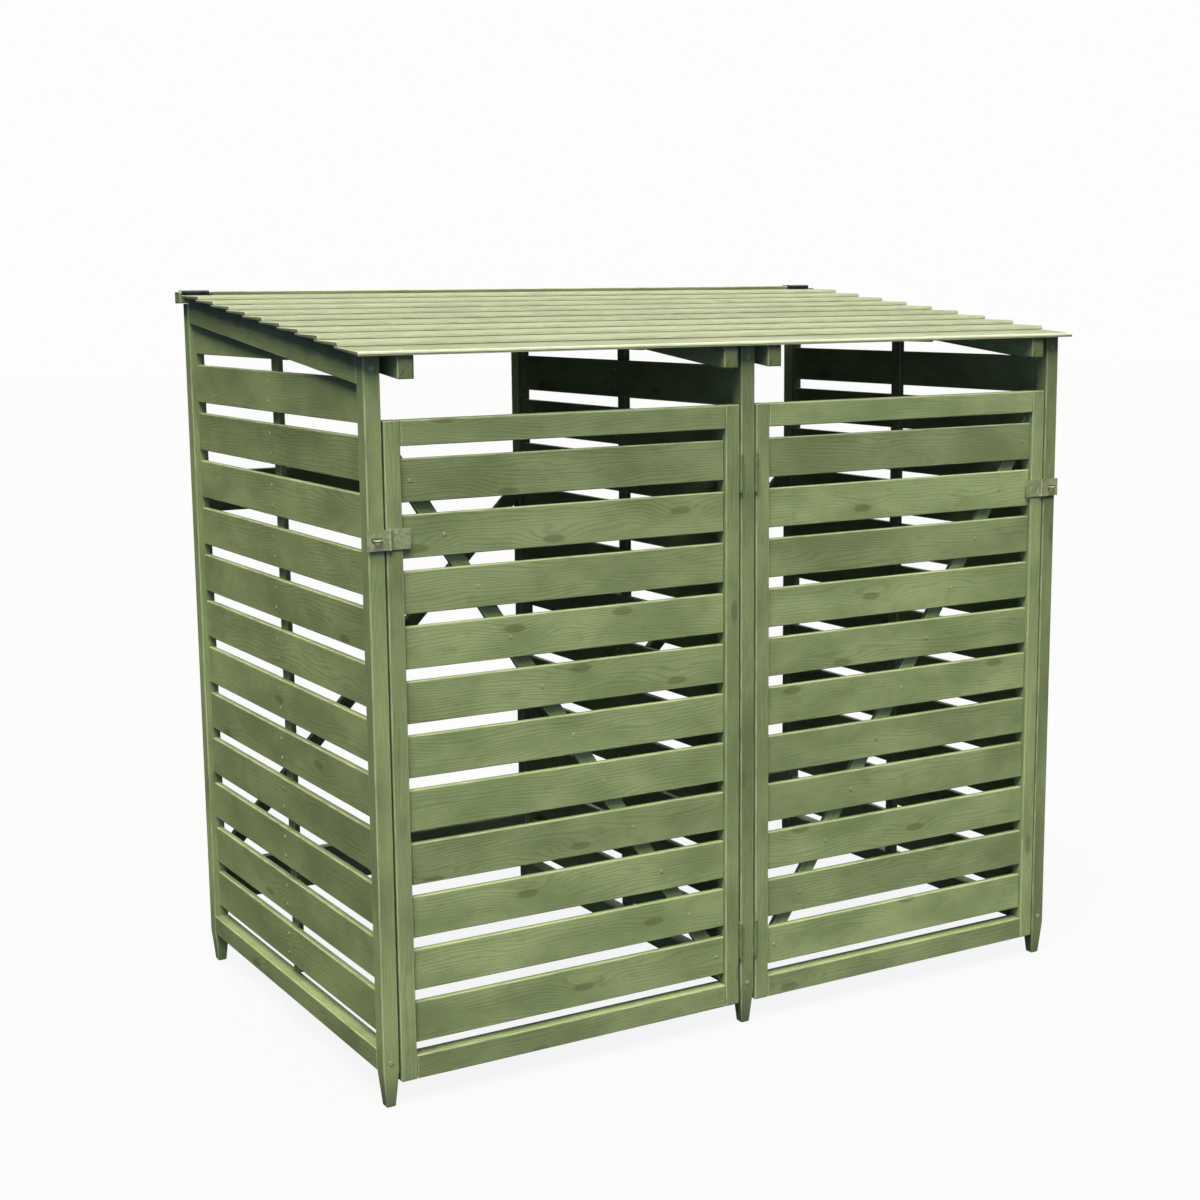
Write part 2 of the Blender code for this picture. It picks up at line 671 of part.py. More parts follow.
def make_hasp(side, door_axis):
    """A hasp: its leaf is on the door, its slotted strap drops over a staple on the post."""
    sign = SIDES[side]
    x, y, z = sign * HASP_X, HASP_Y, HASP_CENTRE
    half_height = HASP_HEIGHT / 2
    third = HASP_HEIGHT / 3
    clear = KNUCKLE_RADIUS + 2 * TOUCH

    def plate(name, x_edges, y_edges, z_edges, parent, material=ZINC):
        x_low, x_high = sorted(sign * edge for edge in x_edges)
        low, high = zip((x_low, x_high), y_edges, z_edges)
        return box(name, low, high, material, parent, edge=0.0)

    leaf_name = f"{side}_hasp_leaf"
    leaf_y = (FRONT - TOUCH - HASP_PLATE, FRONT - TOUCH)
    full = (z - half_height, z + half_height)
    leaf = plate(leaf_name, (HASP_X - HASP_LEAF_REACH, HASP_X - clear), leaf_y, full, door_axis)
    for number, (low, high) in enumerate(
        ((z - half_height, z - third / 2 - TOUCH), (z + third / 2 + TOUCH, z + half_height))
    ):
        tab = plate(
            f"{leaf_name}_tab_{number}",
            (HASP_X - clear - TOUCH, HASP_X),
            leaf_y,
            (low, high),
            door_axis,
            None,
        )
        join(leaf, tab)
        barrel_at = (x, y, (low + high) / 2)
        join(leaf, knuckle(f"{leaf_name}_knuckle_{number}", barrel_at, high - low, parent=door_axis))
    pin_length = HASP_HEIGHT - TOUCH
    join(leaf, knuckle(f"{leaf_name}_pin", (x, y, z), pin_length, PIN_RADIUS, door_axis))

    strap_axis = make_axis(f"{side}_strap_axis", (x, y, 0.0))
    strap_name = f"{side}_hasp_strap"
    strap_y = (y - HASP_PLATE / 2, y + HASP_PLATE / 2)
    strap = plate(strap_name, (HASP_X + clear, HASP_X + HASP_STRAP_REACH), strap_y, full, strap_axis)
    middle = (z - third / 2, z + third / 2)
    tab = plate(
        f"{strap_name}_tab", (HASP_X, HASP_X + clear + TOUCH), strap_y, middle, strap_axis, None
    )
    join(strap, tab)
    join(strap, knuckle(f"{strap_name}_knuckle", (x, y, z), third, parent=strap_axis))
    bore_radius = PIN_RADIUS + BORE_CLEARANCE
    cut(strap, knuckle(f"{strap_name}_bore", (x, y, z), HASP_HEIGHT, bore_radius, strap_axis))
    near_leg = STAPLE_X - HASP_X - STAPLE_LEG_SPACING / 2 - STAPLE_WIRE_RADIUS
    far_leg = STAPLE_X - HASP_X + STAPLE_LEG_SPACING / 2 + STAPLE_WIRE_RADIUS
    # The strap's slot clears the staple's far corner, which lies further from the pin.
    far_corner = math.hypot(far_leg, STAPLE_STANDS_OUT + FRONT - HASP_Y - 2 * KNUCKLE_RADIUS)
    slot = plate(
        f"{strap_name}_slot",
        (HASP_X + near_leg - SLOT_CLEARANCE, HASP_X + far_corner + SLOT_CLEARANCE),
        (y - HASP_PLATE, y + HASP_PLATE),
        (z - SLOT_HEIGHT / 2, z + SLOT_HEIGHT / 2),
        strap_axis,
        None,
    )
    cut(strap, slot)

    base = plate(
        f"{side}_hasp_staple",
        (STAPLE_X - STAPLE_PLATE_WIDTH / 2, STAPLE_X + STAPLE_PLATE_WIDTH / 2),
        (FRONT - TOUCH - HASP_PLATE / 2, FRONT - TOUCH),
        (z - STAPLE_PLATE_HEIGHT / 2, z + STAPLE_PLATE_HEIGHT / 2),
        None,
    )
    loop_at = (sign * STAPLE_X, FRONT - 2 * TOUCH, z)
    join(base, place(f"{side}_staple_loop", staple_mesh("staple_wire"), loop_at))


make_wall("left_wall", -HALF_WIDTH, 1)
make_wall("divider", -STOCK / 2, 1)
make_wall("right_wall", HALF_WIDTH, -1)
roof_axis_empty = make_roof()
make_back()
for door_side in SIDES:
    make_lid_hinge(door_side, roof_axis_empty)
    door_axis_empty = make_door(door_side)
    for hinge_place, hinge_z in (
        ("lower", DOOR_FOOT + HINGE_FROM_DOOR_END),
        ("upper", DOOR_TOP - HINGE_FROM_DOOR_END),
    ):
        make_hinge(f"{door_side}_{hinge_place}_hinge", door_side, hinge_z, door_axis_empty)
    make_hasp(door_side, door_axis_empty)
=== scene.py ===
"""Looks of a green-stained slatted timber store for two wheeled bins.

Every board is made anew as a surface in numpy, in the place that its CAD solid holds, with the
direction of its grain, its worn arrises and its sawn ends stored on it. The steel pieces stay as
they are and get their finishes. Metres, +Z up, doors towards -Y.
"""

import json
import math

import bpy
import numpy as np
from mathutils import Matrix, Vector


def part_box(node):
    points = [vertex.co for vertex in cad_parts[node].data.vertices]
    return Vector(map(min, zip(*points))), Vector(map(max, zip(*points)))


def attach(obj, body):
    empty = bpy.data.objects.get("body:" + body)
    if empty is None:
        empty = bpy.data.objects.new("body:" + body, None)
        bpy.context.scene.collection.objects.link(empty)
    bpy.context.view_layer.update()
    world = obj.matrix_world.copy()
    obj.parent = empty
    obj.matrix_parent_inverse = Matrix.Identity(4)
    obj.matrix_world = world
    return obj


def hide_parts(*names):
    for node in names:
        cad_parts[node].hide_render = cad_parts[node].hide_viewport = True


bl_info = {
    "name": "Slatted bin store",
    "version": (1, 0, 0),
    "blender": (4, 5, 0),
    "location": "View3D > Sidebar > Bin store",
    "description": "Builds the boards, fixings and finishes of a timber store for wheeled bins",
    "category": "Add Mesh",
}

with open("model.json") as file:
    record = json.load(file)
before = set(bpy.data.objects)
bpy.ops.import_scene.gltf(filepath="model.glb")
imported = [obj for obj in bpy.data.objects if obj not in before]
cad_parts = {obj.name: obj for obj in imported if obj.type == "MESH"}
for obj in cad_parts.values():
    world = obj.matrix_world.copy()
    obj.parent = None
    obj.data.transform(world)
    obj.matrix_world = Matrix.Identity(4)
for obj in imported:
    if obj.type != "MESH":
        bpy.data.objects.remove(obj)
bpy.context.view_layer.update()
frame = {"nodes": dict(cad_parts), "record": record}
NODES = frame["nodes"]
BODY_OF = {
    node: body
    for body, nodes in frame["record"]["behaviour"]["bodies"].items()
    for node in nodes
}
AXES = np.eye(3)
X, Y, Z = AXES
SIDES = ("left", "right")
WALLS = ("left_wall", "divider", "right_wall")

NEAR = 0.003  # a corner this near an end is at that end
ARRIS_STEPS = 5  # points round each arris
END_STEPS = 4  # rings round the arris of each end
HOLD_SHARE = 0.5  # of an arris: the strip beside it that keeps the flat face shading flat
FEWEST_RINGS = 6  # between the two ends of a short board
WAVE_FADE = 0.05  # how far from its ends a board starts to bend
FOOT_TAPER = 0.016  # height of the taper at a post's foot
NEAR_TOP = 0.02  # a post's corners this near its top are its top's
NEAR_GROUND = 0.001  # and this near the ground its foot's
SLAT_THICKNESS = 0.012
SHORTEST_TOP = 0.006  # a slat cut to the rake starts where it is this high
BATTEN_REACH = 0.008  # a corner this far inside a wall's slats is the batten's
BACK_RAIL = 0.076  # height of the rails across the back
OFF_RAIL = 0.01  # a corner this far from a back rail is the brace's
BACK_BRACE = 0.0401  # height of the back brace's ends, which are cut upright
BACK_BRACE_SHY = 0.002  # how far the brace stands inside the rails' faces
NAIL_SHARES = (0.25, 0.75)  # of a wall slat's height, where its two nails are
NAIL_TO_END = 0.012  # nearest that a nail comes to the top of a batten
NAIL_TO_FRONT = 0.024  # from a roof board's front edge to its nails
LEAF_SCREW_OUT = 0.014  # from a hasp leaf's outer end to its outer screws
LEAF_SCREW_IN = 0.006  # from its inner end to its inner screws
LEAF_SCREW_EDGE = 0.007  # from its upper and lower edges to its screws
HINGE_SCREW_END = 0.009  # from a lid hinge leaf's ends to its outer screws
FLOOR_RINGS = (2.0, 6.0, 14.0, 30.0)
FLOOR_SIDES = 48
KNOT = "#4b4a2a"
SAWN_END = "#3f4627"
ZINC_STAIN = "#6d7350"


# --- reading the CAD solids ---------------------------------------------------------------


def corners_of(node):
    """All corner points of a CAD node, as an array."""
    mesh = NODES[node].data
    points = np.empty(len(mesh.vertices) * 3, np.float32)
    mesh.vertices.foreach_get("co", points)
    return points.reshape(-1, 3).astype(float)


def span(node, axis):
    """Lowest and highest coordinate of a CAD node along one axis, 0 to 2."""
    low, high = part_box(node)
    return low[axis], high[axis]


def spans_of(node):
    """Lowest and highest coordinates of a CAD node along X, Y and Z."""
    return [span(node, axis) for axis in range(3)]


def end_spans(points, along, across):
    """Spans across a bar at its two ends, as ((low, high), (low, high))."""
    reach = points[:, along]
    spans = []
    for end in (reach.min(), reach.max()):
        there = points[np.abs(reach - end) < NEAR][:, across]
        spans.append((there.min(), there.max()))
    return spans


# --- boards --------------------------------------------------------------------------------


def unit(vectors):
    """Each vector divided by its own length."""
    return vectors / np.linalg.norm(vectors, axis=-1, keepdims=True)


def section_outline(corners, radius, hold):
    """Outline of a four-sided section with rounded arrises.

    Each arris is the curve (1-t)^2 A + 2t(1-t) C + t^2 B, from A, one radius before its corner C,
    to B, one radius after it, with a flat point beyond each end. Returns the points, their
    outward directions, how far round each one is, and 1 where a point is on an arris.
    """
    radius = np.broadcast_to(radius, 4)[:, None]
    before = unit(np.roll(corners, 1, axis=0) - corners)
    after = unit(np.roll(corners, -1, axis=0) - corners)
    start = corners + radius * before
    end = corners + radius * after
    t = np.linspace(0.0, 1.0, ARRIS_STEPS)[None, :, None]
    corner = corners[:, None]
    arris = (1 - t) ** 2 * start[:, None] + 2 * t * (1 - t) * corner + t**2 * end[:, None]
    first = (start + hold * before)[:, None]
    last = (end + hold * after)[:, None]
    points = np.concatenate([first, arris, last], axis=1).reshape(-1, 2)
    steps = unit(np.roll(points, -1, axis=0) - points)
    tangent = unit(steps + np.roll(steps, 1, axis=0))
    outward = np.stack([tangent[:, 1], -tangent[:, 0]], axis=1)
    lengths = np.linalg.norm(np.roll(points, -1, axis=0) - points, axis=1)
    around = np.concatenate([[0.0], np.cumsum(lengths)])
    on_arris = np.tile([0.0] + [1.0] * ARRIS_STEPS + [0.0], 4)
    return points, outward, around, on_arris


def end_rings(length, radius, hold, middle_count):
    """Stations along a board, and how far its outline shrinks at each.

    At an end the outline shrinks by r - sqrt(r^2 - (r - s)^2), a quarter circle of radius r in
    the distance s from the end, and one more ring lies inside it on the flat of the end.
    """
    s = radius * (1 - np.cos(np.linspace(0.0, np.pi / 2, END_STEPS)))
    shrink = radius - np.sqrt(np.maximum(radius**2 - (radius - s) ** 2, 0.0))
    s = np.concatenate([[0.0], s, [radius + hold]])
    shrink = np.concatenate([[radius + hold], shrink, [0.0]])
    middle = np.linspace(radius + hold, length - radius - hold, middle_count + 2)[1:-1]
    stations = np.concatenate([s, middle, (length - s)[::-1]])
    shrinks = np.concatenate([shrink, np.zeros(middle_count), shrink[::-1]])
    return stations, shrinks


def board(
    axes,
    start,
    length,
    corners,
    look,
    seed,
    taper=None,
    slope=0.0,
    foot_share=None,
    radii=None,
    painted_lit_face=False,
):
    """One board, as arrays: its outline carried from ring to ring along it.

    axes are three unit vectors: across the face, through the thickness and along the board.
    start is the point that corners, (across, through) pairs, are measured from at its first end.
    taper gives the across span at the first and last end where it changes along the board.
    slope is how far the last end rises along the board for each metre across its thickness.
    foot_share is what its outline shrinks to at the first end, over the height of a foot's taper.
    radii gives each arris its own radius, in the order of corners.
    The last argument marks the whole face from the last corner to the first one with the rubbed tone,
    and fades it out over the last corner's arris: painted light, a pale tone that lightens the shade
    falling on that face.
    """
    across, through, along = (np.asarray(axis, float) for axis in axes)
    random = np.random.default_rng(seed)
    corners = np.asarray(corners, float)
    radius, hold = look.arris, look.arris * HOLD_SHARE
    outline, outward, around, on_arris = section_outline(
        corners, radius if radii is None else radii, hold
    )
    middle_count = max(FEWEST_RINGS, int(length / look.station_step))
    s, shrink = end_rings(length, radius, hold, middle_count)
    grid = outline[None] - outward[None] * shrink[:, None, None]

    # A dried board is never quite straight: two slow waves across it and two through it.
    phase = random.uniform(0, 2 * np.pi, (2, 2))
    turns = random.uniform(1.5, 4.5, (2, 2))
    angles = turns[..., None] * s + phase[..., None]
    waves = look.wave * np.sin(angles).mean(axis=1)
    fade = np.clip(np.minimum(s, length - s) / WAVE_FADE, 0.0, 1.0)
    grid += (waves * fade).T[:, None, :]

    centre = corners.mean(axis=0)
    low, high = corners[:, 0].min(), corners[:, 0].max()
    if taper is not None:
        part = (s / length)[:, None]
        new_low = taper[0][0] * (1 - part) + taper[1][0] * part
        new_high = taper[0][1] * (1 - part) + taper[1][1] * part
        share = (grid[..., 0] - low) / (high - low)
        grid[..., 0] = new_low + share * (new_high - new_low)
    if foot_share is not None:
        scale = np.clip(s / FOOT_TAPER, 0.0, 1.0)[:, None, None]
        grid = centre + (grid - centre) * (foot_share + (1 - foot_share) * scale)
    lean = slope * np.clip(2 * s / length - 1, 0.0, 1.0)
    run = s[:, None] + lean[:, None] * (grid[..., 1] - centre[1])
    points = (
        np.asarray(start, float)
        + grid[..., :1] * across
        + grid[..., 1:] * through
        + run[..., None] * along
    ).reshape(-1, 3)

    rows, columns = grid.shape[:2]
    i, j = np.meshgrid(np.arange(rows - 1), np.arange(columns), indexing="ij")
    i, j = i.ravel(), j.ravel()
    right = (j + 1) % columns
    quads = np.stack(
        [i * columns + j, i * columns + right, (i + 1) * columns + right, (i + 1) * columns + j],
        axis=1,
    )
    grain = random.uniform(0, 40, 2)
    u, v = s + grain[0], around + grain[1]
    quad_uv = np.stack(
        [
            np.stack([u[i], v[j]], axis=1),
            np.stack([u[i], v[j + 1]], axis=1),
            np.stack([u[i + 1], v[j + 1]], axis=1),
            np.stack([u[i + 1], v[j]], axis=1),
        ],
        axis=1,
    )
    first_cap = np.arange(columns)[::-1]
    last_cap = (rows - 1) * columns + np.arange(columns)
    cap_uv = [grid[0][::-1] + grain, grid[-1] + grain]
    if np.linalg.det(np.stack([across, through, along])) < 0:
        quads, quad_uv = quads[:, ::-1], quad_uv[:, ::-1]
        first_cap, last_cap = first_cap[::-1], last_cap[::-1]
        cap_uv = [uv[::-1] for uv in cap_uv]
    # Painted light: with the face flag set, the whole front face gets the pale rubbed tone to lighten
    # its shade; on the arrises the mark is wear.
    if painted_lit_face:
        on_arris[[0, -1]] = 1.0
        on_arris[-1 - ARRIS_STEPS : -1] = np.linspace(0.0, 1.0, ARRIS_STEPS) ** 2
    at_end = (s <= 0.0) | (s >= length)
    in_arris = (shrink > 0) & (shrink <= radius)
    wear_and_painted_light = np.maximum(on_arris[None], in_arris[:, None]) * np.ones((rows, columns))
    butt = at_end[:, None] * np.ones((rows, columns))
    return {
        "points": points,
        "quads": quads,
        "caps": [first_cap, last_cap],
        "uv": np.concatenate([quad_uv.reshape(-1, 2), *cap_uv]),
        "wear_and_painted_light": wear_and_painted_light.ravel(),
        "butt": butt.ravel(),
        "tint": np.full(rows * columns, random.uniform(-1, 1)),
    }


def timber_piece(name, boards, node, material):
    """One object from several boards, which stands for a CAD node."""
    faces, uv, count = [], [], 0
    for made in boards:
        faces += (made["quads"] + count).tolist()
        faces += [(cap + count).tolist() for cap in made["caps"]]
        uv.append(made["uv"])
        count += len(made["points"])
    mesh = bpy.data.meshes.new(name)
    points = np.concatenate([made["points"] for made in boards])
    mesh.from_pydata(points.tolist(), [], faces)
    layer = mesh.uv_layers.new(name="grain")
    layer.data.foreach_set("uv", np.concatenate(uv).ravel())
    for key in ("wear_and_painted_light", "butt", "tint"):
        values = np.concatenate([made[key] for made in boards])
        mesh.attributes.new(key, "FLOAT", "POINT").data.foreach_set("value", values)
    mesh.shade_smooth()
    mesh.validate()
    return add_piece(name, mesh, BODY_OF[node], material, node)


def add_piece(name, mesh, body, material, node=None):
    """Links a finished piece at the origin, on its body and in place of its CAD node."""
    mesh.materials.append(material)
    piece = bpy.data.objects.new(name, mesh)
    bpy.context.scene.collection.objects.link(piece)
    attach(piece, body)
    if node:
        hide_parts(node)
    return piece


def rectangle(a, b):
    """Corners of a rectangular section from its two spans, anticlockwise."""
    return [(a[0], b[0]), (a[1], b[0]), (a[1], b[1]), (a[0], b[1])]


def eased(low_high, by):
    """A span made shorter by the same amount at both ends."""
    return low_high[0] + by, low_high[1] - by


def straight_board(spans, along, look, seed):
    """A board along one axis that fills its spans in X, Y and Z, the wider way as its face."""
    a_axis, b_axis = (axis for axis in range(3) if axis != along)
    if spans[a_axis][1] - spans[a_axis][0] < spans[b_axis][1] - spans[b_axis][0]:
        a_axis, b_axis = b_axis, a_axis
    start = AXES[along] * spans[along][0]
    section = rectangle(eased(spans[a_axis], look.wave), eased(spans[b_axis], look.wave))
    axes = (AXES[a_axis], AXES[b_axis], AXES[along])
    return board(axes, start, spans[along][1] - spans[along][0], section, look, seed)


def raking_board(points, along, thin, look, seed):
    """A board whose top and bottom slope, with ends cut upright: a rake rail or a brace."""
    spans = [(points[:, axis].min(), points[:, axis].max()) for axis in range(3)]
    first, last = end_spans(points, along, 2)
    start = AXES[along] * spans[along][0]
    section = rectangle(first, eased(spans[thin], look.wave))
    axes = (AXES[2], AXES[thin], AXES[along])
    length = spans[along][1] - spans[along][0]
    return board(axes, start, length, section, look, seed, taper=(first, last))


# --- materials -----------------------------------------------------------------------------


def linear(colour):
    """Linear RGBA from an sRGB hex value."""
    parts = [int(colour.lstrip("#")[i : i + 2], 16) / 255 for i in (0, 2, 4)]
    return (*(c / 12.92 if c <= 0.04045 else ((c + 0.055) / 1.055) ** 2.4 for c in parts), 1.0)


def add(tree, inputs, kind, output=0, **settings):
    """Adds a node with its settings, and gives one of its output sockets.

    inputs are values, or sockets to link: a tuple of them in order, or a dictionary of them by
    name or number.
    """
    node = tree.nodes.new(kind)
    for key, value in settings.items():
        setattr(node, key, value)
    for key, value in (inputs if isinstance(inputs, dict) else dict(enumerate(inputs))).items():
        if isinstance(value, bpy.types.NodeSocket):
            tree.links.new(value, node.inputs[key])
        else:
            node.inputs[key].default_value = value
    return node.outputs[output]


# What add is told for the nodes that come often. A step carries its first input smoothly from the
# range of the next two to the range of the last two. A mix is of colours 6 and 7, by share 0.
STEP = {"kind": "ShaderNodeMapRange", "interpolation_type": "SMOOTHSTEP"}
MIX = {"kind": "ShaderNodeMix", "data_type": "RGBA", "output": 2}
SHADE = {**MIX, "blend_type": "MULTIPLY"}
TIMES = {"kind": "ShaderNodeMath", "operation": "MULTIPLY"}
TIMES_PLUS = {"kind": "ShaderNodeMath", "operation": "MULTIPLY_ADD"}
NOISE = {"kind": "ShaderNodeTexNoise"}


def new_material(name):
    """A material, and its empty node tree."""
    material = bpy.data.materials.new(name)
    material.use_nodes = True
    material.node_tree.nodes.clear()
    return material, material.node_tree


def show(tree, surface):
    """Puts a shader on the material's output."""
    output = tree.nodes.new("ShaderNodeOutputMaterial")
    tree.links.new(surface, output.inputs["Surface"])


def show_principled(tree, bump, **inputs):
    """Puts a Principled shader on the output, with a bump of (strength, depth, height)."""
    strength, depth, height = bump
    bump = {"Strength": strength, "Distance": depth, "Height": height}
    named = {key.replace("_", " "): value for key, value in inputs.items()}
    named["Normal"] = add(tree, bump, "ShaderNodeBump")
    show(tree, add(tree, named, "ShaderNodeBsdfPrincipled"))


def grain_noise(tree, grain, per_metre, detail, roughness=0.5):
    """Noise with so many features to the metre along the grain, and across it."""
    place = add(tree, {"Vector": grain, "Scale": (*per_metre, 1.0)}, "ShaderNodeMapping")
    inputs = {"Vector": place, "Scale": 1.0, "Detail": detail, "Roughness": roughness}
    return add(tree, inputs, **NOISE)


def knots_and_swirls(tree, grain):
    """Knots, and the wider swirl of grain round each.

    There may be one in each cell, 230 mm along the grain by 80 mm across, and most have none.
    """
    cells = add(tree, {"Vector": grain, "Scale": (1 / 0.23, 1 / 0.08, 1.0)}, "ShaderNodeMapping")
    inputs = {"Vector": cells, "Scale": 1.0, "Randomness": 0.9}
    apart = add(tree, inputs, "ShaderNodeTexVoronoi", "Distance", voronoi_dimensions="2D")
    drawn = add(tree, (apart.node.outputs["Color"],), "ShaderNodeSeparateColor")
    present = add(tree, (drawn, 0.72, 0.76, 0.0, 1.0), **STEP)
    return [
        add(tree, (add(tree, (apart, inner, outer, 1.0, 0.0), **STEP), present), **TIMES)
        for inner, outer in ((0.05, 0.12), (0.0, 0.42))
    ]


def late_wood_bands(tree, grain, swirl):
    """Late wood: bands 5.2 mm apart, that wander over 300 mm and bend round each knot."""
    wander = grain_noise(tree, grain, (3.0, 16.0), 2.0)
    across = add(tree, (grain,), "ShaderNodeSeparateXYZ", "Y")
    bent = add(tree, (wander, 0.055, across), **TIMES_PLUS)
    bent = add(tree, (swirl, 0.014, bent), **TIMES_PLUS)
    angle = add(tree, (bent, 2 * math.pi / 0.0052), **TIMES)
    wave = add(tree, (angle,), "ShaderNodeMath", operation="SINE")
    return add(tree, (wave, 0.0, 1.0, 0.0, 1.0), **STEP)


def stained_softwood(name, pale, deep, patch, rub, rub_and_painted_light_share):
    """Planed spruce under a thin matt green stain.

    The stain sinks in unevenly, so the green drifts in patches, the grain shows through as fine
    darker lines, knots show as browner ovals, the arrises are rubbed paler and the sawn ends, which
    drink the most stain, are darkest. On the roof the rubbed tone also covers the whole front face of
    each board strongly: painted light that lightens the shade on those faces.
    """
    material, tree = new_material(name)
    grain = add(tree, (), "ShaderNodeUVMap", "UV", uv_map="grain")
    tint, wear_and_painted_light, butt = (
        add(tree, (), "ShaderNodeAttribute", "Fac", attribute_name=key)
        for key in ("tint", "wear_and_painted_light", "butt")
    )
    knot, swirl = knots_and_swirls(tree, grain)
    late_wood = late_wood_bands(tree, grain, swirl)
    streaks = grain_noise(tree, grain, (16.0, 820.0), 3.0, 0.6)  # planing lines 1.2 mm wide
    patches = grain_noise(tree, grain, (5.0, 9.0), 4.0, 0.55)  # of stain, 200 by 110 mm
    blotches = grain_noise(tree, grain, (22.0, 34.0), 3.0)  # of stain, 45 by 30 mm

    sunk = add(tree, (patches, 0.30, 0.70, 0.0, 1.0), **STEP)
    colour = add(tree, {0: sunk, 6: linear(deep), 7: linear(pale)}, **MIX)
    earthy = add(tree, (blotches, 0.50, 0.80, 0.0, 0.45), **STEP)
    colour = add(tree, {0: earthy, 6: colour, 7: linear(patch)}, **MIX)
    for step in (
        (late_wood, 0.0, 1.0, 1.0, 0.87),
        (streaks, 0.35, 0.70, 0.93, 1.05),
        (tint, -1.0, 1.0, 0.88, 1.10),
    ):
        colour = add(tree, {0: 1.0, 6: colour, 7: add(tree, step, **STEP)}, **SHADE)
    knotty = add(tree, (knot, 0.0, 1.0, 0.0, 0.50), **STEP)
    # The rubbed tone: wear on the arrises, and on the roof also painted light over whole front faces.
    rubbed = add(tree, (wear_and_painted_light, add(tree, (blotches, 0.35, 0.65, *rub_and_painted_light_share), **STEP)), **TIMES)
    sawn = add(tree, (butt, 0.0, 1.0, 0.0, 0.55), **STEP)
    for share, tone in ((knotty, KNOT), (rubbed, rub), (sawn, SAWN_END)):
        colour = add(tree, {0: share, 6: colour, 7: linear(tone)}, **MIX)

    ridges = add(tree, (late_wood, 0.0, 1.0, 0.0, 0.4), **STEP)
    show_principled(
        tree,
        (0.55, 0.0004, add(tree, (streaks, 0.6, ridges), **TIMES_PLUS)),
        Base_Color=colour,
        Roughness=add(tree, (patches, 0.30, 0.70, 0.86, 0.70), **STEP),
        IOR=1.47,
        Specular_IOR_Level=0.35,
    )
    return material


def plated_steel(name, bright, dull, stain):
    """Pressed mild steel, zinc plated, weathered and brushed with the timber's stain.

    The plating has a dull bloom in specks of about 7 mm, and the stain lies on it in drifts of
    about 30 mm, so it looks olive grey and hardly shines.
    """
    material, tree = new_material(name)
    place = add(tree, (), "ShaderNodeTexCoord", "Object")
    inputs = {"Vector": place, "Scale": 140.0, "Detail": 5.0, "Roughness": 0.6}
    bloom = add(tree, inputs, **NOISE)
    drift = add(tree, {"Vector": place, "Scale": 35.0, "Detail": 2.0}, **NOISE)
    dulled = add(tree, (bloom, 0.35, 0.65, 0.0, 1.0), **STEP)
    colour = add(tree, {0: dulled, 6: linear(dull), 7: linear(bright)}, **MIX)
    stained = add(tree, (drift, 0.52, 0.70, 0.0, 0.55), **STEP)
    show_principled(
        tree,
        (0.25, 0.0002, bloom),
        Base_Color=add(tree, {0: stained, 6: colour, 7: linear(stain)}, **MIX),
        Roughness=add(tree, (bloom, 0.3, 0.7, 0.60, 0.42), **STEP),
        Metallic=0.35,
    )
    return material


def coated_steel(name, coat, bare, roughness, cover):
    """Steel under paint or stain: a semi-matt film, rubbed through to the metal in specks.

    The specks are about 4 mm apart, where their noise is over cover, and the film's thickness
    drifts over about 17 mm.
    """
    material, tree = new_material(name)
    place = add(tree, (), "ShaderNodeTexCoord", "Object")
    inputs = {"Vector": place, "Scale": 260.0, "Detail": 4.0, "Roughness": 0.65}
    chips = add(tree, inputs, **NOISE)
    film = add(tree, {"Vector": place, "Scale": 60.0, "Detail": 2.0}, **NOISE)
    shade = add(tree, (film, 0.3, 0.7, 0.82, 1.12), **STEP)
    colour = add(tree, {0: 1.0, 6: linear(coat), 7: shade}, **SHADE)
    chipped = add(tree, (chips, cover, cover + 0.06, 0.0, 1.0), **STEP)
    show_principled(
        tree,
        (0.3, 0.0002, chips),
        Base_Color=add(tree, {0: chipped, 6: colour, 7: linear(bare)}, **MIX),
        Roughness=add(tree, (film, 0.3, 0.7, roughness - 0.08, roughness + 0.08), **STEP),
    )
    return material


# --- fixings -------------------------------------------------------------------------------


def head_surface(at, normal, radius, height, crossed, turn):
    """A nail or screw head: rings of a low dome, height (1 - r^2), round the point at.

    On a screw the inner ring sinks along two crossed lines, by cos(4 angle) where that is over 0.
    """
    sides = 16 if crossed else 12
    angle = np.linspace(0, 2 * np.pi, sides, endpoint=False) + turn
    rings = np.array([1.0, 0.96, 0.55, 0.0])
    lift = np.array([-0.2, 0.45, 0.9, 1.0]) * height
    normal = unit(np.asarray(normal, float))
    side = unit(np.cross(normal, X if abs(normal[0]) < 0.7 else Y))
    other = np.cross(normal, side)
    spokes = np.cos(angle)[:, None] * side + np.sin(angle)[:, None] * other
    points = (
        np.asarray(at, float)
        + rings[:3, None, None] * radius * spokes[None]
        + lift[:3, None, None] * normal
    )
    if crossed:
        points[2] -= 0.7 * height * np.maximum(np.cos(4 * (angle - turn)), 0)[:, None] * normal
    centre = np.asarray(at, float) + (lift[3] - (0.9 * height if crossed else 0.0)) * normal
    points = np.concatenate([points.reshape(-1, 3), centre[None]])
    i, j = np.meshgrid(np.arange(2), np.arange(sides), indexing="ij")
    i, j, right = i.ravel(), j.ravel(), (j.ravel() + 1) % sides
    quads = np.stack(
        [i * sides + j, i * sides + right, (i + 1) * sides + right, (i + 1) * sides + j], axis=1
    )
    j = np.arange(sides)
    fan = np.stack([2 * sides + j, 2 * sides + (j + 1) % sides, np.full(sides, 3 * sides)], axis=1)
    return points, [*quads.tolist(), *fan.tolist(), np.arange(sides)[::-1].tolist()]


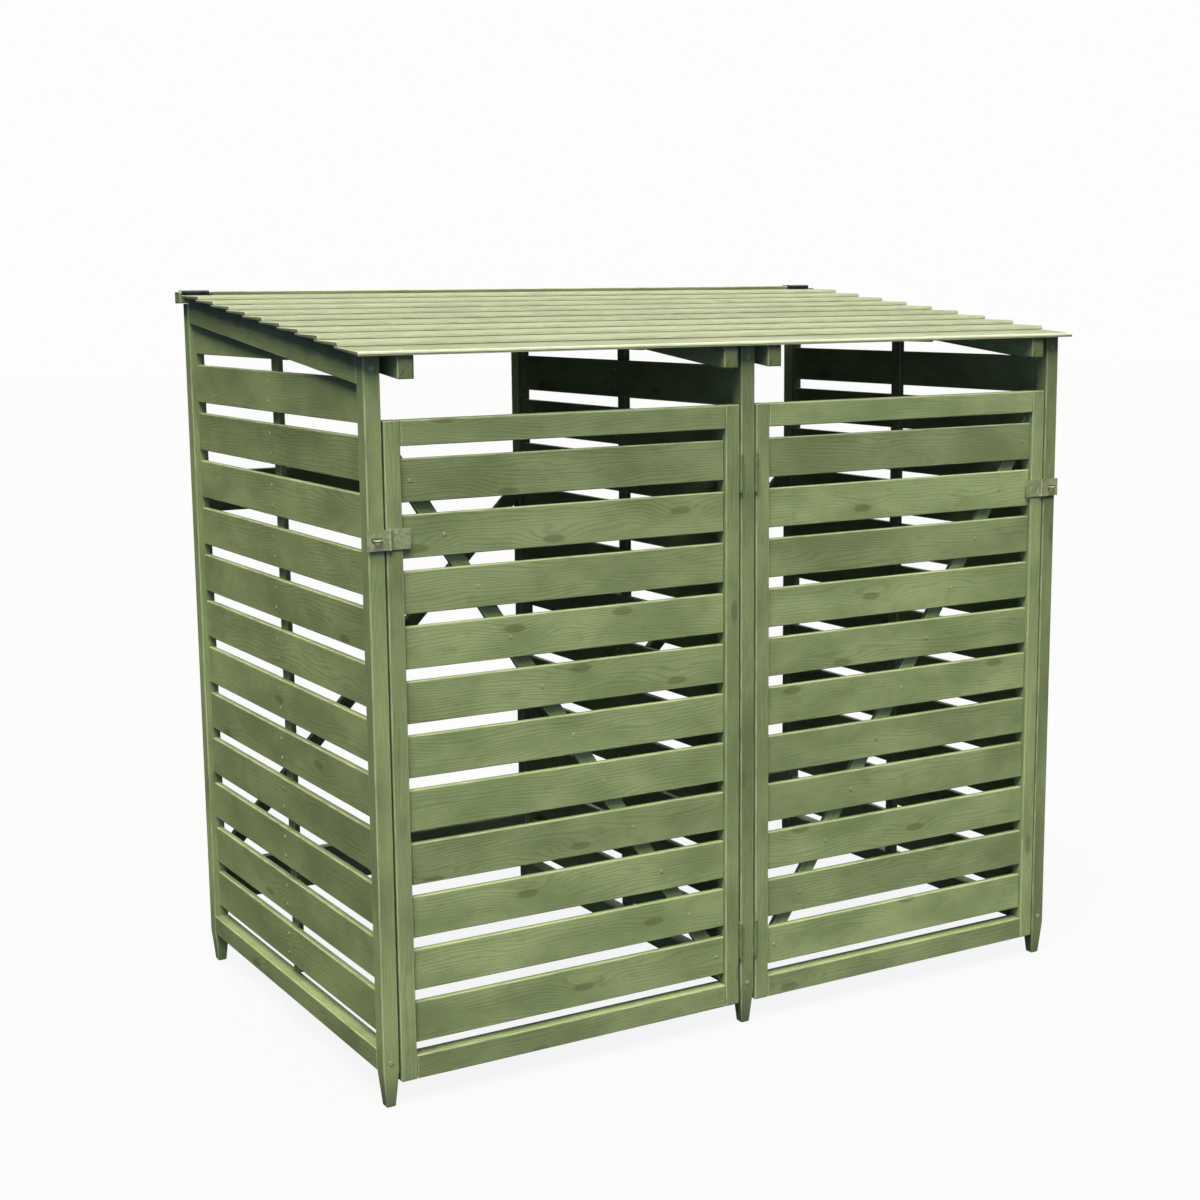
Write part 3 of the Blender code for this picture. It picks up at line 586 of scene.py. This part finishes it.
def fixing_piece(name, heads, body, material, slot, radius, height, crossed):
    """One object of many heads, each given as (point, normal)."""
    random = np.random.default_rng(len(heads) * 7 + len(name))
    points, faces, count = [], [], 0
    for at, normal in heads:
        turn = random.uniform(0, np.pi)
        made, made_faces = head_surface(at, normal, radius, height, crossed, turn)
        points.append(made)
        faces += [[index + count for index in face] for face in made_faces]
        count += len(made)
    mesh = bpy.data.meshes.new(name)
    mesh.from_pydata(np.concatenate(points).tolist(), [], faces)
    mesh.validate()
    return add_piece(name, mesh, body, material)


# --- settings ------------------------------------------------------------------------------


class BinStoreTimber(bpy.types.PropertyGroup):
    """Sizes and stain colours of the boards."""

    arris: bpy.props.FloatProperty(
        name="Arris", description="Radius of a board's edges", default=0.0018, unit="LENGTH"
    )
    thin_arris: bpy.props.FloatProperty(
        name="Roof arris", description="Radius of a roof board's edges", default=0.0009, unit="LENGTH"
    )
    front_round: bpy.props.FloatProperty(
        name="Roof front round",
        description="Radius of the upper front edge of a roof board",
        default=0.0036,
        unit="LENGTH",
    )
    wave: bpy.props.FloatProperty(
        name="Wave", description="How far a board bends from straight", default=0.0003, unit="LENGTH"
    )
    station_step: bpy.props.FloatProperty(
        name="Station step", description="Distance between rings", default=0.06, unit="LENGTH"
    )
    door_slat_count: bpy.props.IntProperty(
        name="Door slats", description="Slats in each door", default=11
    )
    door_slat_foot: bpy.props.FloatProperty(
        name="Door slats' foot", description="Foot of the lowest", default=0.099, unit="LENGTH"
    )
    door_slat_height: bpy.props.FloatProperty(
        name="Door slat", description="Height of a slat", default=0.068, unit="LENGTH"
    )
    door_slat_gap: bpy.props.FloatProperty(
        name="Door gap", description="Gap between two slats", default=0.019, unit="LENGTH"
    )
    wall_slat_count: bpy.props.IntProperty(
        name="Wall slats", description="Slats in each wall", default=13
    )
    wall_slat_foot: bpy.props.FloatProperty(
        name="Wall slats' foot", description="Foot of the lowest", default=0.114, unit="LENGTH"
    )
    wall_slat_height: bpy.props.FloatProperty(
        name="Wall slat", description="Height of a slat", default=0.0688, unit="LENGTH"
    )
    wall_slat_gap: bpy.props.FloatProperty(
        name="Wall gap", description="Gap between two slats", default=0.020, unit="LENGTH"
    )
    door_pale: bpy.props.StringProperty(
        name="Door, pale", description="Thin stain on the doors", default="#8b9867"
    )
    door_deep: bpy.props.StringProperty(
        name="Door, deep", description="Thick stain on the doors", default="#6f7d50"
    )
    wall_pale: bpy.props.StringProperty(
        name="Wall, pale", description="Thin stain on the walls", default="#84905f"
    )
    wall_deep: bpy.props.StringProperty(
        name="Wall, deep", description="Thick stain on the walls", default="#68754a"
    )
    roof_pale: bpy.props.StringProperty(
        name="Roof, pale", description="Thin stain on the roof", default="#7c8266"
    )
    roof_deep: bpy.props.StringProperty(
        name="Roof, deep", description="Thick stain on the roof", default="#70765b"
    )
    frame_pale: bpy.props.StringProperty(
        name="Frame, pale", description="Thin stain on the frame", default="#83905f"
    )
    frame_deep: bpy.props.StringProperty(
        name="Frame, deep", description="Thick stain on the frame", default="#66734a"
    )
    rub: bpy.props.StringProperty(
        name="Rubbed", description="Arrises where the stain is rubbed thin", default="#a2a981"
    )
    # Painted light and wear: the pale tone of the roof boards' arrises and of their whole front
    # faces, where it lightens the shade that falls on them.
    roof_rub_and_painted_light: bpy.props.StringProperty(
        name="Roof, rubbed", description="Bleached front edges of the roof", default="#b3b797"
    )
    patch: bpy.props.StringProperty(
        name="Patch", description="Brownish green where the stain took badly", default="#6f6f45"
    )


class BinStoreFixings(bpy.types.PropertyGroup):
    """Sizes and colours of the nails, screws and steel."""

    nail_radius: bpy.props.FloatProperty(
        name="Nail head", description="Radius of a nail's head", default=0.0034, unit="LENGTH"
    )
    screw_radius: bpy.props.FloatProperty(
        name="Screw head", description="Radius of a screw's head", default=0.0042, unit="LENGTH"
    )
    small_screw_radius: bpy.props.FloatProperty(
        name="Small screw head",
        description="Radius of a screw's head on the hasps and lid hinges",
        default=0.0026,
        unit="LENGTH",
    )
    head_height: bpy.props.FloatProperty(
        name="Head height", description="How far a head stands out", default=0.0005, unit="LENGTH"
    )
    zinc_bright: bpy.props.StringProperty(
        name="Zinc, bright", description="Fresh zinc", default="#a9ae86"
    )
    zinc_dull: bpy.props.StringProperty(
        name="Zinc, dull", description="Weathered zinc", default="#868f66"
    )
    hinge_coat: bpy.props.StringProperty(
        name="Hinge stain", description="Stain over the door hinges", default="#5d6b42"
    )
    black_coat: bpy.props.StringProperty(
        name="Black coat", description="Black coat of the lid hinges", default="#1d1e1a"
    )
    bare_steel: bpy.props.StringProperty(
        name="Bare steel", description="Where a coat is rubbed off", default="#6a675c"
    )


class BinStoreStage(bpy.types.PropertyGroup):
    """Floor, lights and camera."""

    page: bpy.props.StringProperty(name="Page", description="Floor colour", default="#fdfdfd")
    camera_place: bpy.props.FloatVectorProperty(
        name="Camera", description="Where the camera stands", default=(-1.841, -3.0661, 1.2831)
    )
    camera_azimuth: bpy.props.FloatProperty(
        name="Azimuth", description="Camera's turn to the right of +Y, degrees", default=30.198
    )
    camera_fall: bpy.props.FloatProperty(
        name="Fall", description="How far the camera looks down, degrees", default=9.138
    )
    camera_roll: bpy.props.FloatProperty(
        name="Roll", description="Camera's roll, degrees", default=-0.622
    )
    camera_lens: bpy.props.FloatProperty(
        name="Lens", description="Focal length in mm on a 36 mm sensor", default=57.19
    )
    key_strength: bpy.props.FloatProperty(
        name="Key", description="Strength of the high front light", default=6.9
    )
    top_strength: bpy.props.FloatProperty(
        name="Top", description="Strength of the light overhead", default=1.6
    )
    back_strength: bpy.props.FloatProperty(
        name="Back", description="Strength of the light behind", default=2.2
    )
    haze_strength: bpy.props.FloatProperty(
        name="Haze", description="Strength of the blue light that reaches inside", default=0.8
    )
    floor_shade: bpy.props.FloatProperty(
        name="Floor shade", description="How strongly shadows show on the floor", default=0.03
    )
    fill_strength: bpy.props.FloatProperty(
        name="Fill", description="Strength of the low front light", default=0.8
    )


def settings(kind):
    """The settings of one kind, from the scene."""
    return getattr(bpy.context.scene, f"bin_store_{kind}")


class BoardLook:
    """What the boards of one kind share: their arris, wave and ring distance."""

    def __init__(self, arris, wave, station_step):
        self.arris = arris
        self.wave = wave
        self.station_step = station_step


def look_of(thin=False):
    """The look of framing boards, or of the thin boards of the roof."""
    timber = settings("timber")
    if thin:
        return BoardLook(timber.thin_arris, timber.wave / 2, timber.station_step)
    return BoardLook(timber.arris, timber.wave, timber.station_step)


def timber_material(kind):
    """The stained softwood of one kind of board, made once."""
    name = f"stained_spruce_{kind}"
    made = bpy.data.materials.get(name)
    if made:
        return made
    timber = settings("timber")
    pale, deep = getattr(timber, f"{kind}_pale"), getattr(timber, f"{kind}_deep")
    # On the roof the rubbed tone is laid on strongly, 0.7 to 0.95: mostly painted light on the shaded
    # front faces.
    rub, share = (timber.rub, (0.10, 0.55)) if kind != "roof" else (timber.roof_rub_and_painted_light, (0.7, 0.95))
    return stained_softwood(name, pale, deep, timber.patch, rub, share)


# --- operators -----------------------------------------------------------------------------


class BINSTORE_OT_posts(bpy.types.Operator):
    """Six posts with blunt tapered feet"""

    bl_idname = "binstore.posts"
    bl_label = "Posts"

    def execute(self, context):
        material, look = timber_material("frame"), look_of()
        for number, wall in enumerate(WALLS):
            for place in ("front", "rear"):
                node = f"{wall}_{place}_post"
                points = corners_of(node)
                spans = spans_of(node)
                depth = spans[1][1] - spans[1][0]
                top = points[points[:, 2] > spans[2][1] - NEAR_TOP]
                (_, front_top), (_, rear_top) = end_spans(top, 1, 2)
                slope = (rear_top - front_top) / depth
                foot = np.ptp(points[points[:, 2] < NEAR_GROUND][:, 0])
                made = board(
                    (X, Y, Z),
                    Z * spans[2][0],
                    spans[2][1] - slope * depth / 2 - spans[2][0],
                    rectangle(eased(spans[0], look.wave), eased(spans[1], look.wave)),
                    look,
                    seed=100 + 2 * number + (place == "rear"),
                    slope=slope,
                    foot_share=foot / (spans[0][1] - spans[0][0]),
                )
                timber_piece(f"{node}_timber", [made], node, material)
        return {"FINISHED"}


class BINSTORE_OT_rails(bpy.types.Operator):
    """Bottom and raking rails of the walls"""

    bl_idname = "binstore.rails"
    bl_label = "Wall rails"

    def execute(self, context):
        material, look = timber_material("frame"), look_of()
        for number, wall in enumerate(WALLS):
            node = f"{wall}_bottom_rail"
            made = straight_board(spans_of(node), 1, look, 120 + number)
            timber_piece(f"{node}_timber", [made], node, material)
            node = f"{wall}_top_rail"
            made = raking_board(corners_of(node), 1, 0, look, 130 + number)
            timber_piece(f"{node}_timber", [made], node, material)
        return {"FINISHED"}


def slat_levels(kind):
    """Foot and top of each slat of a door or a wall: one slat and one gap further up each time."""
    timber = settings("timber")
    foot, height, gap, count = (
        getattr(timber, f"{kind}_slat_{key}") for key in ("foot", "height", "gap", "count")
    )
    return [(foot + n * (height + gap), foot + n * (height + gap) + height) for n in range(count)]


class Rake:
    """Underside of a wall's raking rail, as a line over Y."""

    def __init__(self, wall):
        rail = f"{wall}_top_rail"
        (self.low, _), (high, _) = end_spans(corners_of(rail), 1, 2)
        self.front, rear = span(rail, 1)
        self.slope = (high - self.low) / (rear - self.front)

    def height(self, y):
        """Its height at a place along Y."""
        return self.low + self.slope * (y - self.front)

    def place(self, z):
        """Where along Y it is z high."""
        return self.front + (z - self.low) / self.slope


def wall_parts(wall):
    """A wall's inward direction along X, and the spans of its slats' X and of its batten."""
    points = corners_of(f"{wall}_slats")
    inward = -1 if wall == "right_wall" else 1
    at_front = points[np.abs(points[:, 1] - points[:, 1].min()) < NEAR]
    slat_x = (at_front[:, 0].min(), at_front[:, 0].max())
    inner_face = slat_x[inward > 0]
    batten = points[(points[:, 0] - inner_face) * inward > BATTEN_REACH]
    batten_x = sorted((inner_face, span(f"{wall}_slats", 0)[inward > 0]))
    batten_y = (batten[:, 1].min(), batten[:, 1].max())
    return inward, slat_x, [batten_x, batten_y, (batten[:, 2].min(), batten[:, 2].max())]


def raked_slat(slat_x, foot, marks, tops, look, seed):
    """A slat along Y, whose top runs through the given heights at the given marks."""
    section = rectangle((foot, tops[-1]), eased(slat_x, look.wave))
    made = board((Z, X, Y), Y * marks[0], marks[-1] - marks[0], section, look, seed)
    points = made["points"]
    share = (points[:, 2] - foot) / (tops[-1] - foot)
    points[:, 2] = foot + share * (np.interp(points[:, 1], marks, tops) - foot)
    return made


class BINSTORE_OT_wall_slats(bpy.types.Operator):
    """Slats of the walls, with the batten that they are nailed to"""

    bl_idname = "binstore.wall_slats"
    bl_label = "Wall slats"

    def execute(self, context):
        material, look = timber_material("wall"), look_of()
        for number, wall in enumerate(WALLS):
            node = f"{wall}_slats"
            low_y, high_y = span(node, 1)
            _, slat_x, (batten_x, batten_y, batten_z) = wall_parts(wall)
            rake = Rake(wall)
            boards = []
            for index, (foot, top) in enumerate(slat_levels("wall")):
                start_y = max(low_y, rake.place(foot + SHORTEST_TOP))
                meet = rake.place(top)
                marks = [start_y, meet, high_y] if start_y < meet < high_y else [start_y, high_y]
                tops = [min(top, rake.height(y) - look.wave) for y in marks]
                seed = 200 + 20 * number + index
                boards.append(raked_slat(slat_x, foot, marks, tops, look, seed))
            batten_top = rake.height(batten_y[0]) - look.wave
            spans = [batten_x, batten_y, (batten_z[0], batten_top)]
            boards.append(straight_board(spans, 2, look, 290 + number))
            timber_piece(f"{node}_timber", boards, node, material)
        return {"FINISHED"}


class BINSTORE_OT_doors(bpy.types.Operator):
    """Stiles, rails, slats and braces of the two doors"""

    bl_idname = "binstore.doors"
    bl_label = "Doors"

    def execute(self, context):
        material, look = timber_material("door"), look_of()
        for number, side in enumerate(SIDES):
            for index, (piece, along) in enumerate(
                (("hinge_stile", 2), ("latch_stile", 2), ("bottom_rail", 0), ("top_rail", 0))
            ):
                node = f"{side}_door_{piece}"
                made = straight_board(spans_of(node), along, look, 300 + 10 * number + index)
                timber_piece(f"{node}_timber", [made], node, material)
            node = f"{side}_door_slats"
            points = corners_of(node)
            low_y, high_y = span(node, 1)
            slat_y = (low_y, low_y + SLAT_THICKNESS)
            boards = [
                straight_board([span(node, 0), slat_y, level], 0, look, 320 + 20 * number + index)
                for index, level in enumerate(slat_levels("door"))
            ]
            back = points[points[:, 1] > high_y - NEAR]
            brace = np.concatenate([back, back + (slat_y[1] - high_y) * Y])
            boards.append(raking_board(brace, 0, 1, look, 370 + number))
            timber_piece(f"{node}_timber", boards, node, material)
        return {"FINISHED"}


class BINSTORE_OT_lid(bpy.types.Operator):
    """Lapped tapered boards of the lid, and the bearers under them"""

    bl_idname = "binstore.lid"
    bl_label = "Lid"

    def execute(self, context):
        material, look = timber_material("roof"), look_of(thin=True)
        nodes = sorted(node for node in NODES if node.startswith("roof_board_"))
        for number, node in enumerate(nodes):
            x_low, x_high = span(node, 0)
            made = board(
                (Y, Z, X),
                X * x_low,
                x_high - x_low,
                board_section(corners_of(node)),
                look,
                400 + number,
                radii=(look.arris, look.arris, look.arris, settings("timber").front_round),
                # Every board but the front one gets its front face painted pale: painted light over
                # the shade on the step faces.
                painted_lit_face=number > 0,
            )
            timber_piece(f"{node}_timber", [made], node, material)
        material, look = timber_material("frame"), look_of()
        for number, node in enumerate(
            f"{side}_{place}_roof_bearer" for side in SIDES for place in ("outer", "inner")
        ):
            made = raking_board(corners_of(node), 1, 0, look, 430 + number)
            timber_piece(f"{node}_timber", [made], node, material)
        return {"FINISHED"}


def board_section(points):
    """The four corners of a tapered roof board in (y, z): lower front, lower rear, and above."""
    y, z = points[:, 1], points[:, 2]
    front = points[y < y.min() + NEAR]
    rear = points[y > y.max() - NEAR]
    return [
        (y.min(), front[:, 2].min()),
        (y.max(), rear[:, 2].min()),
        (y.max(), rear[:, 2].max()),
        (y.min(), front[:, 2].max()),
    ]


class BINSTORE_OT_back(bpy.types.Operator):
    """Rear rail on the rear posts, and the rails and brace across each bay"""

    bl_idname = "binstore.back"
    bl_label = "Back"

    def execute(self, context):
        material, look = timber_material("frame"), look_of()
        made = straight_board(spans_of("rear_top_rail"), 0, look, 500)
        timber_piece("rear_top_rail_timber", [made], "rear_top_rail", material)
        for number, side in enumerate(SIDES):
            node = f"{side}_back_frame"
            points = corners_of(node)
            x_span, y_span, (low_z, high_z) = spans_of(node)
            lower = straight_board(
                [x_span, y_span, (low_z, low_z + BACK_RAIL)], 0, look, 510 + number
            )
            upper = straight_board(
                [x_span, y_span, (high_z - BACK_RAIL, high_z)], 0, look, 520 + number
            )
            off_rails = (points[:, 2] > low_z + BACK_RAIL + OFF_RAIL) & (
                points[:, 2] < high_z - BACK_RAIL - OFF_RAIL
            )
            (_, left_top), (right_foot, _) = end_spans(points[off_rails], 0, 2)
            first = (left_top - BACK_BRACE, left_top)
            last = (right_foot, right_foot + BACK_BRACE)
            brace = board(
                (Z, Y, X),
                X * x_span[0],
                x_span[1] - x_span[0],
                rectangle(first, eased(y_span, BACK_BRACE_SHY + look.wave)),
                look,
                530 + number,
                taper=(first, last),
            )
            timber_piece(f"{node}_timber", [lower, upper, brace], node, material)
        return {"FINISHED"}


class BINSTORE_OT_ironmongery(bpy.types.Operator):
    """Finishes of the hinges and hasps"""

    bl_idname = "binstore.ironmongery"
    bl_label = "Ironmongery"

    def execute(self, context):
        fixings = settings("fixings")
        bare = fixings.bare_steel
        zinc = plated_steel(
            "zinc_plated_steel", fixings.zinc_bright, fixings.zinc_dull, ZINC_STAIN
        )
        stained = coated_steel("stained_over_steel", fixings.hinge_coat, bare, 0.6, 0.66)
        black = coated_steel("black_japanned_steel", fixings.black_coat, bare, 0.42, 0.7)
        for name, node in NODES.items():
            if "lid_hinge" in name:
                finish = black
            elif "hinge" in name and "stile" not in name:
                finish = stained
            elif "hasp" in name:
                finish = zinc
            else:
                continue
            node.data.materials.clear()
            node.data.materials.append(finish)
        return {"FINISHED"}


class BINSTORE_OT_fixings(bpy.types.Operator):
    """Nails of the boards, and screws of the frame, hasps and lid hinges"""

    bl_idname = "binstore.fixings"
    bl_label = "Fixings"

    def execute(self, context):
        fixings = settings("fixings")
        zinc = bpy.data.materials["zinc_plated_steel"]
        black = bpy.data.materials["black_japanned_steel"]
        nail = (fixings.nail_radius, fixings.head_height, False)
        screw = (fixings.screw_radius, fixings.head_height, True)
        small = (fixings.small_screw_radius, fixings.head_height, True)
        fixing_piece("lid_nails", roof_nails(), "lid", zinc, "zinc", *nail)
        fixing_piece("wall_nails", wall_nails(), "frame", zinc, "zinc", *nail)
        fixing_piece("frame_screws", post_screws(), "frame", zinc, "zinc", *screw)
        for side in SIDES:
            door = f"{side}_door"
            fixing_piece(f"{door}_nails", door_nails(side), door, zinc, "zinc", *nail)
            leaf = f"{side}_hasp_leaf"
            fixing_piece(f"{leaf}_screws", plate_screws(leaf, side), door, zinc, "zinc", *small)
            rail_heads, board_heads = lid_hinge_screws(side)
            name = f"{side}_lid_hinge"
            fixing_piece(
                f"{name}_rail_screws", rail_heads, "frame", black, "black_steel", *small
            )
            fixing_piece(f"{name}_board_screws", board_heads, "lid", black, "black_steel", *small)
        return {"FINISHED"}


def roof_nails():
    """A nail through each roof board into each bearer, near its front edge."""
    nodes = sorted(node for node in NODES if node.startswith("roof_board_"))
    bearers = [f"{side}_{place}_roof_bearer" for side in SIDES for place in ("outer", "inner")]
    heads = []
    for node in nodes:
        corners = np.array(board_section(corners_of(node)))
        front, rear = corners[3], corners[2]
        along = unit(rear - front)
        place = front + along * NAIL_TO_FRONT
        normal = (0.0, -along[1], along[0])
        for bearer in bearers:
            x = sum(span(bearer, 0)) / 2
            heads.append(((x, place[0], place[1]), normal))
    return heads


def wall_nails():
    """Two nails through each slat into its batten, from the wall's outer face."""
    heads = []
    for wall in WALLS:
        inward, slat_x, (_, batten_y, batten_z) = wall_parts(wall)
        face, y = slat_x[inward < 0], sum(batten_y) / 2
        for foot, top in slat_levels("wall"):
            for share in NAIL_SHARES:
                z = foot + share * (top - foot)
                if z < batten_z[1] - NAIL_TO_END:
                    heads.append(((face, y, z), (-inward, 0.0, 0.0)))
    return heads


def post_screws():
    """A screw through each post's outer face into the end of each rail."""
    heads = []
    for wall in WALLS:
        for place, normal in (("front", -1.0), ("rear", 1.0)):
            low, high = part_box(f"{wall}_{place}_post")
            y = low.y if normal < 0 else high.y
            x = (low.x + high.x) / 2
            rail = f"{wall}_bottom_rail"
            top = end_spans(corners_of(f"{wall}_top_rail"), 1, 2)[normal > 0]
            for z in (sum(span(rail, 2)) / 2, sum(top) / 2):
                heads.append(((x, y, z), (0.0, normal, 0.0)))
    return heads


def door_nails(side):
    """A nail through each slat into the brace behind it."""
    node = f"{side}_door_slats"
    points = corners_of(node)
    low_y, high_y = span(node, 1)
    back = points[points[:, 1] > high_y - NEAR]
    first, last = end_spans(back, 0, 2)
    x_low, x_high = span(node, 0)
    heads = []
    for foot, top in slat_levels("door"):
        z = (foot + top) / 2
        share = (z - sum(first) / 2) / (sum(last) / 2 - sum(first) / 2)
        x = x_low + share * (x_high - x_low)
        heads.append(((x, low_y, z), (0.0, -1.0, 0.0)))
    return heads


def plate_screws(node, side):
    """Four screws near the corners of a hasp's leaf."""
    low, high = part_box(node)
    sign = -1 if side == "left" else 1
    outer = (low.x if sign < 0 else high.x) - sign * LEAF_SCREW_OUT
    inner = (high.x if sign < 0 else low.x) + sign * LEAF_SCREW_IN
    face = [v for v in corners_of(node) if abs(v[0] - (high.x if sign < 0 else low.x)) < 0.001]
    y = min(v[1] for v in face)
    middle = (low.z + high.z) / 2
    reach = (high.z - low.z) / 2 - LEAF_SCREW_EDGE
    return [
        ((x, y, middle + up * reach), (0.0, -1.0, 0.0)) for x in (outer, inner) for up in (-1, 1)
    ]


def lid_hinge_screws(side):
    """Three screws in each leaf of a lid hinge."""
    found = []
    for part, share in (("frame_leaf", 0.62), ("lid_leaf", 0.38)):
        node = f"{side}_lid_hinge_{part}"
        points = corners_of(node)
        low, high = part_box(node)
        far = high.y if part == "frame_leaf" else low.y
        plate = points[np.abs(points[:, 1] - far) < 0.002]
        z = plate[:, 2].max()
        y = low.y + share * (high.y - low.y)
        xs = np.linspace(low.x + HINGE_SCREW_END, high.x - HINGE_SCREW_END, 3)
        found.append([((x, y, z), (0.0, 0.0, 1.0)) for x in xs])
    return found


class BINSTORE_OT_stage(bpy.types.Operator):
    """Pale floor, soft studio light and the camera"""

    bl_idname = "binstore.stage"
    bl_label = "Stage"

    def execute(self, context):
        stage = settings("stage")
        scene = context.scene
        scene.view_settings.view_transform = "Standard"
        scene.view_settings.look = "None"
        make_floor(stage)
        make_world(scene, stage)
        make_lights(scene, stage)
        make_camera(scene, stage)
        return {"FINISHED"}


def make_floor(stage):
    """A wide pale disc under the feet: a fan round its centre, and flat rings round that."""
    angle = np.linspace(0, 2 * np.pi, FLOOR_SIDES, endpoint=False)
    circle = np.stack([np.cos(angle), np.sin(angle), 0 * angle], axis=1)
    rings = np.array(FLOOR_RINGS)[:, None, None] * circle
    points = np.concatenate([np.zeros((1, 3)), rings.reshape(-1, 3)])
    j = np.arange(FLOOR_SIDES)
    right = (j + 1) % FLOOR_SIDES
    faces = np.stack([0 * j, 1 + j, 1 + right], axis=1).tolist()
    for ring in range(len(FLOOR_RINGS) - 1):
        inner, outer = 1 + ring * FLOOR_SIDES, 1 + (ring + 1) * FLOOR_SIDES
        faces += np.stack([inner + j, outer + j, outer + right, inner + right], axis=1).tolist()
    mesh = bpy.data.meshes.new("floor")
    mesh.from_pydata(points.tolist(), [], faces)
    floor = bpy.data.objects.new("floor", mesh)
    bpy.context.scene.collection.objects.link(floor)
    material, tree = new_material("pale_paper_floor")
    shade = (*(stage.floor_shade,) * 3, 1.0)
    matt = add(tree, {"Color": shade}, "ShaderNodeBsdfDiffuse")
    lit = stage.floor_shade / math.pi * sum(
        strength * Vector(toward).normalized().z for _, toward, strength, _, _ in lamps(stage)
    )
    page = linear(stage.page)
    inputs = {"Color": page, "Strength": 1 - lit / page[1]}
    glow = add(tree, inputs, "ShaderNodeEmission")
    show(tree, add(tree, (glow, matt), "ShaderNodeAddShader"))
    mesh.materials.append(material)
    floor.visible_diffuse = False
    floor.visible_glossy = False


def make_world(scene, stage):
    """A pale backdrop that lights nothing, so that the lights alone model the object."""
    world = bpy.data.worlds.new("backdrop")
    scene.world = world
    world.use_nodes = True
    background = world.node_tree.nodes["Background"]
    background.inputs["Color"].default_value = linear(stage.page)
    background.inputs["Strength"].default_value = 1.0
    world.cycles_visibility.diffuse = False
    world.cycles_visibility.glossy = False


def lamps(stage):
    """Name, direction to the light, strength, softness in degrees and colour of each sun."""
    return (
        ("key", (-0.9, -1.0, 2.7), stage.key_strength, 40.0, "#fffbe8"),
        ("top", (0.2, -0.3, 2.6), stage.top_strength, 80.0, "#fbfcff"),
        ("fill", (-0.5, -1.0, 0.25), stage.fill_strength, 90.0, "#e6ecff"),
        ("haze", (-0.8, -0.9, 0.3), stage.haze_strength, 90.0, "#7fa2ff"),
        ("back", (1.0, 1.2, 0.8), stage.back_strength, 60.0, "#f4f7ff"),
    )


def make_lights(scene, stage):
    """Soft suns: each shines along the line from its direction to the object."""
    for name, toward, strength, softness, colour in lamps(stage):
        light = bpy.data.lights.new(name, "SUN")
        light.energy = strength
        light.angle = math.radians(softness)
        light.color = linear(colour)[:3]
        light.use_shadow = name != "haze"
        lamp = bpy.data.objects.new(name, light)
        lamp.rotation_euler = Vector(toward).to_track_quat("Z", "Y").to_euler()
        scene.collection.objects.link(lamp)


def make_camera(scene, stage):
    """The camera, turned to its azimuth, tipped down by its fall, then rolled."""
    turn, fall, roll = (
        math.radians(angle)
        for angle in (stage.camera_azimuth, stage.camera_fall, stage.camera_roll)
    )
    look = Vector(
        (math.sin(turn) * math.cos(fall), math.cos(turn) * math.cos(fall), -math.sin(fall))
    )
    right = look.cross(Vector((0, 0, 1))).normalized()
    up = right.cross(look)
    camera = bpy.data.cameras.new("camera")
    camera.lens = stage.camera_lens
    camera.sensor_width = 36.0
    camera.clip_start = 0.05
    camera.clip_end = 100.0
    holder = bpy.data.objects.new("camera", camera)
    scene.collection.objects.link(holder)
    side = right * math.cos(roll) + up * math.sin(roll)
    top = up * math.cos(roll) - right * math.sin(roll)
    columns = Matrix((side, top, -look)).transposed().to_4x4()
    holder.matrix_world = Matrix.Translation(Vector(stage.camera_place)) @ columns
    scene.camera = holder


class BINSTORE_PT_panel(bpy.types.Panel):
    """Buttons for each group of pieces"""

    bl_idname = "BINSTORE_PT_panel"
    bl_label = "Bin store"
    bl_space_type = "VIEW_3D"
    bl_region_type = "UI"
    bl_category = "Bin store"

    def draw(self, context):
        for operator in OPERATORS:
            self.layout.operator(operator.bl_idname)
        for kind, group in GROUPS.items():
            box = self.layout.box()
            for key in group.__annotations__:
                box.prop(settings(kind), key)


GROUPS = {"timber": BinStoreTimber, "fixings": BinStoreFixings, "stage": BinStoreStage}
OPERATORS = (
    BINSTORE_OT_posts,
    BINSTORE_OT_rails,
    BINSTORE_OT_wall_slats,
    BINSTORE_OT_doors,
    BINSTORE_OT_lid,
    BINSTORE_OT_back,
    BINSTORE_OT_ironmongery,
    BINSTORE_OT_fixings,
    BINSTORE_OT_stage,
)


def register():
    for kind, group in GROUPS.items():
        bpy.utils.register_class(group)
        setattr(bpy.types.Scene, f"bin_store_{kind}", bpy.props.PointerProperty(type=group))
    for operator in OPERATORS:
        bpy.utils.register_class(operator)
    bpy.utils.register_class(BINSTORE_PT_panel)


def unregister():
    bpy.utils.unregister_class(BINSTORE_PT_panel)
    for operator in reversed(OPERATORS):
        bpy.utils.unregister_class(operator)
    for kind, group in GROUPS.items():
        delattr(bpy.types.Scene, f"bin_store_{kind}")
        bpy.utils.unregister_class(group)


def main():
    register()
    for operator in OPERATORS:
        getattr(bpy.ops.binstore, operator.bl_idname.split(".")[1])()


if __name__ == "__main__":
    main()
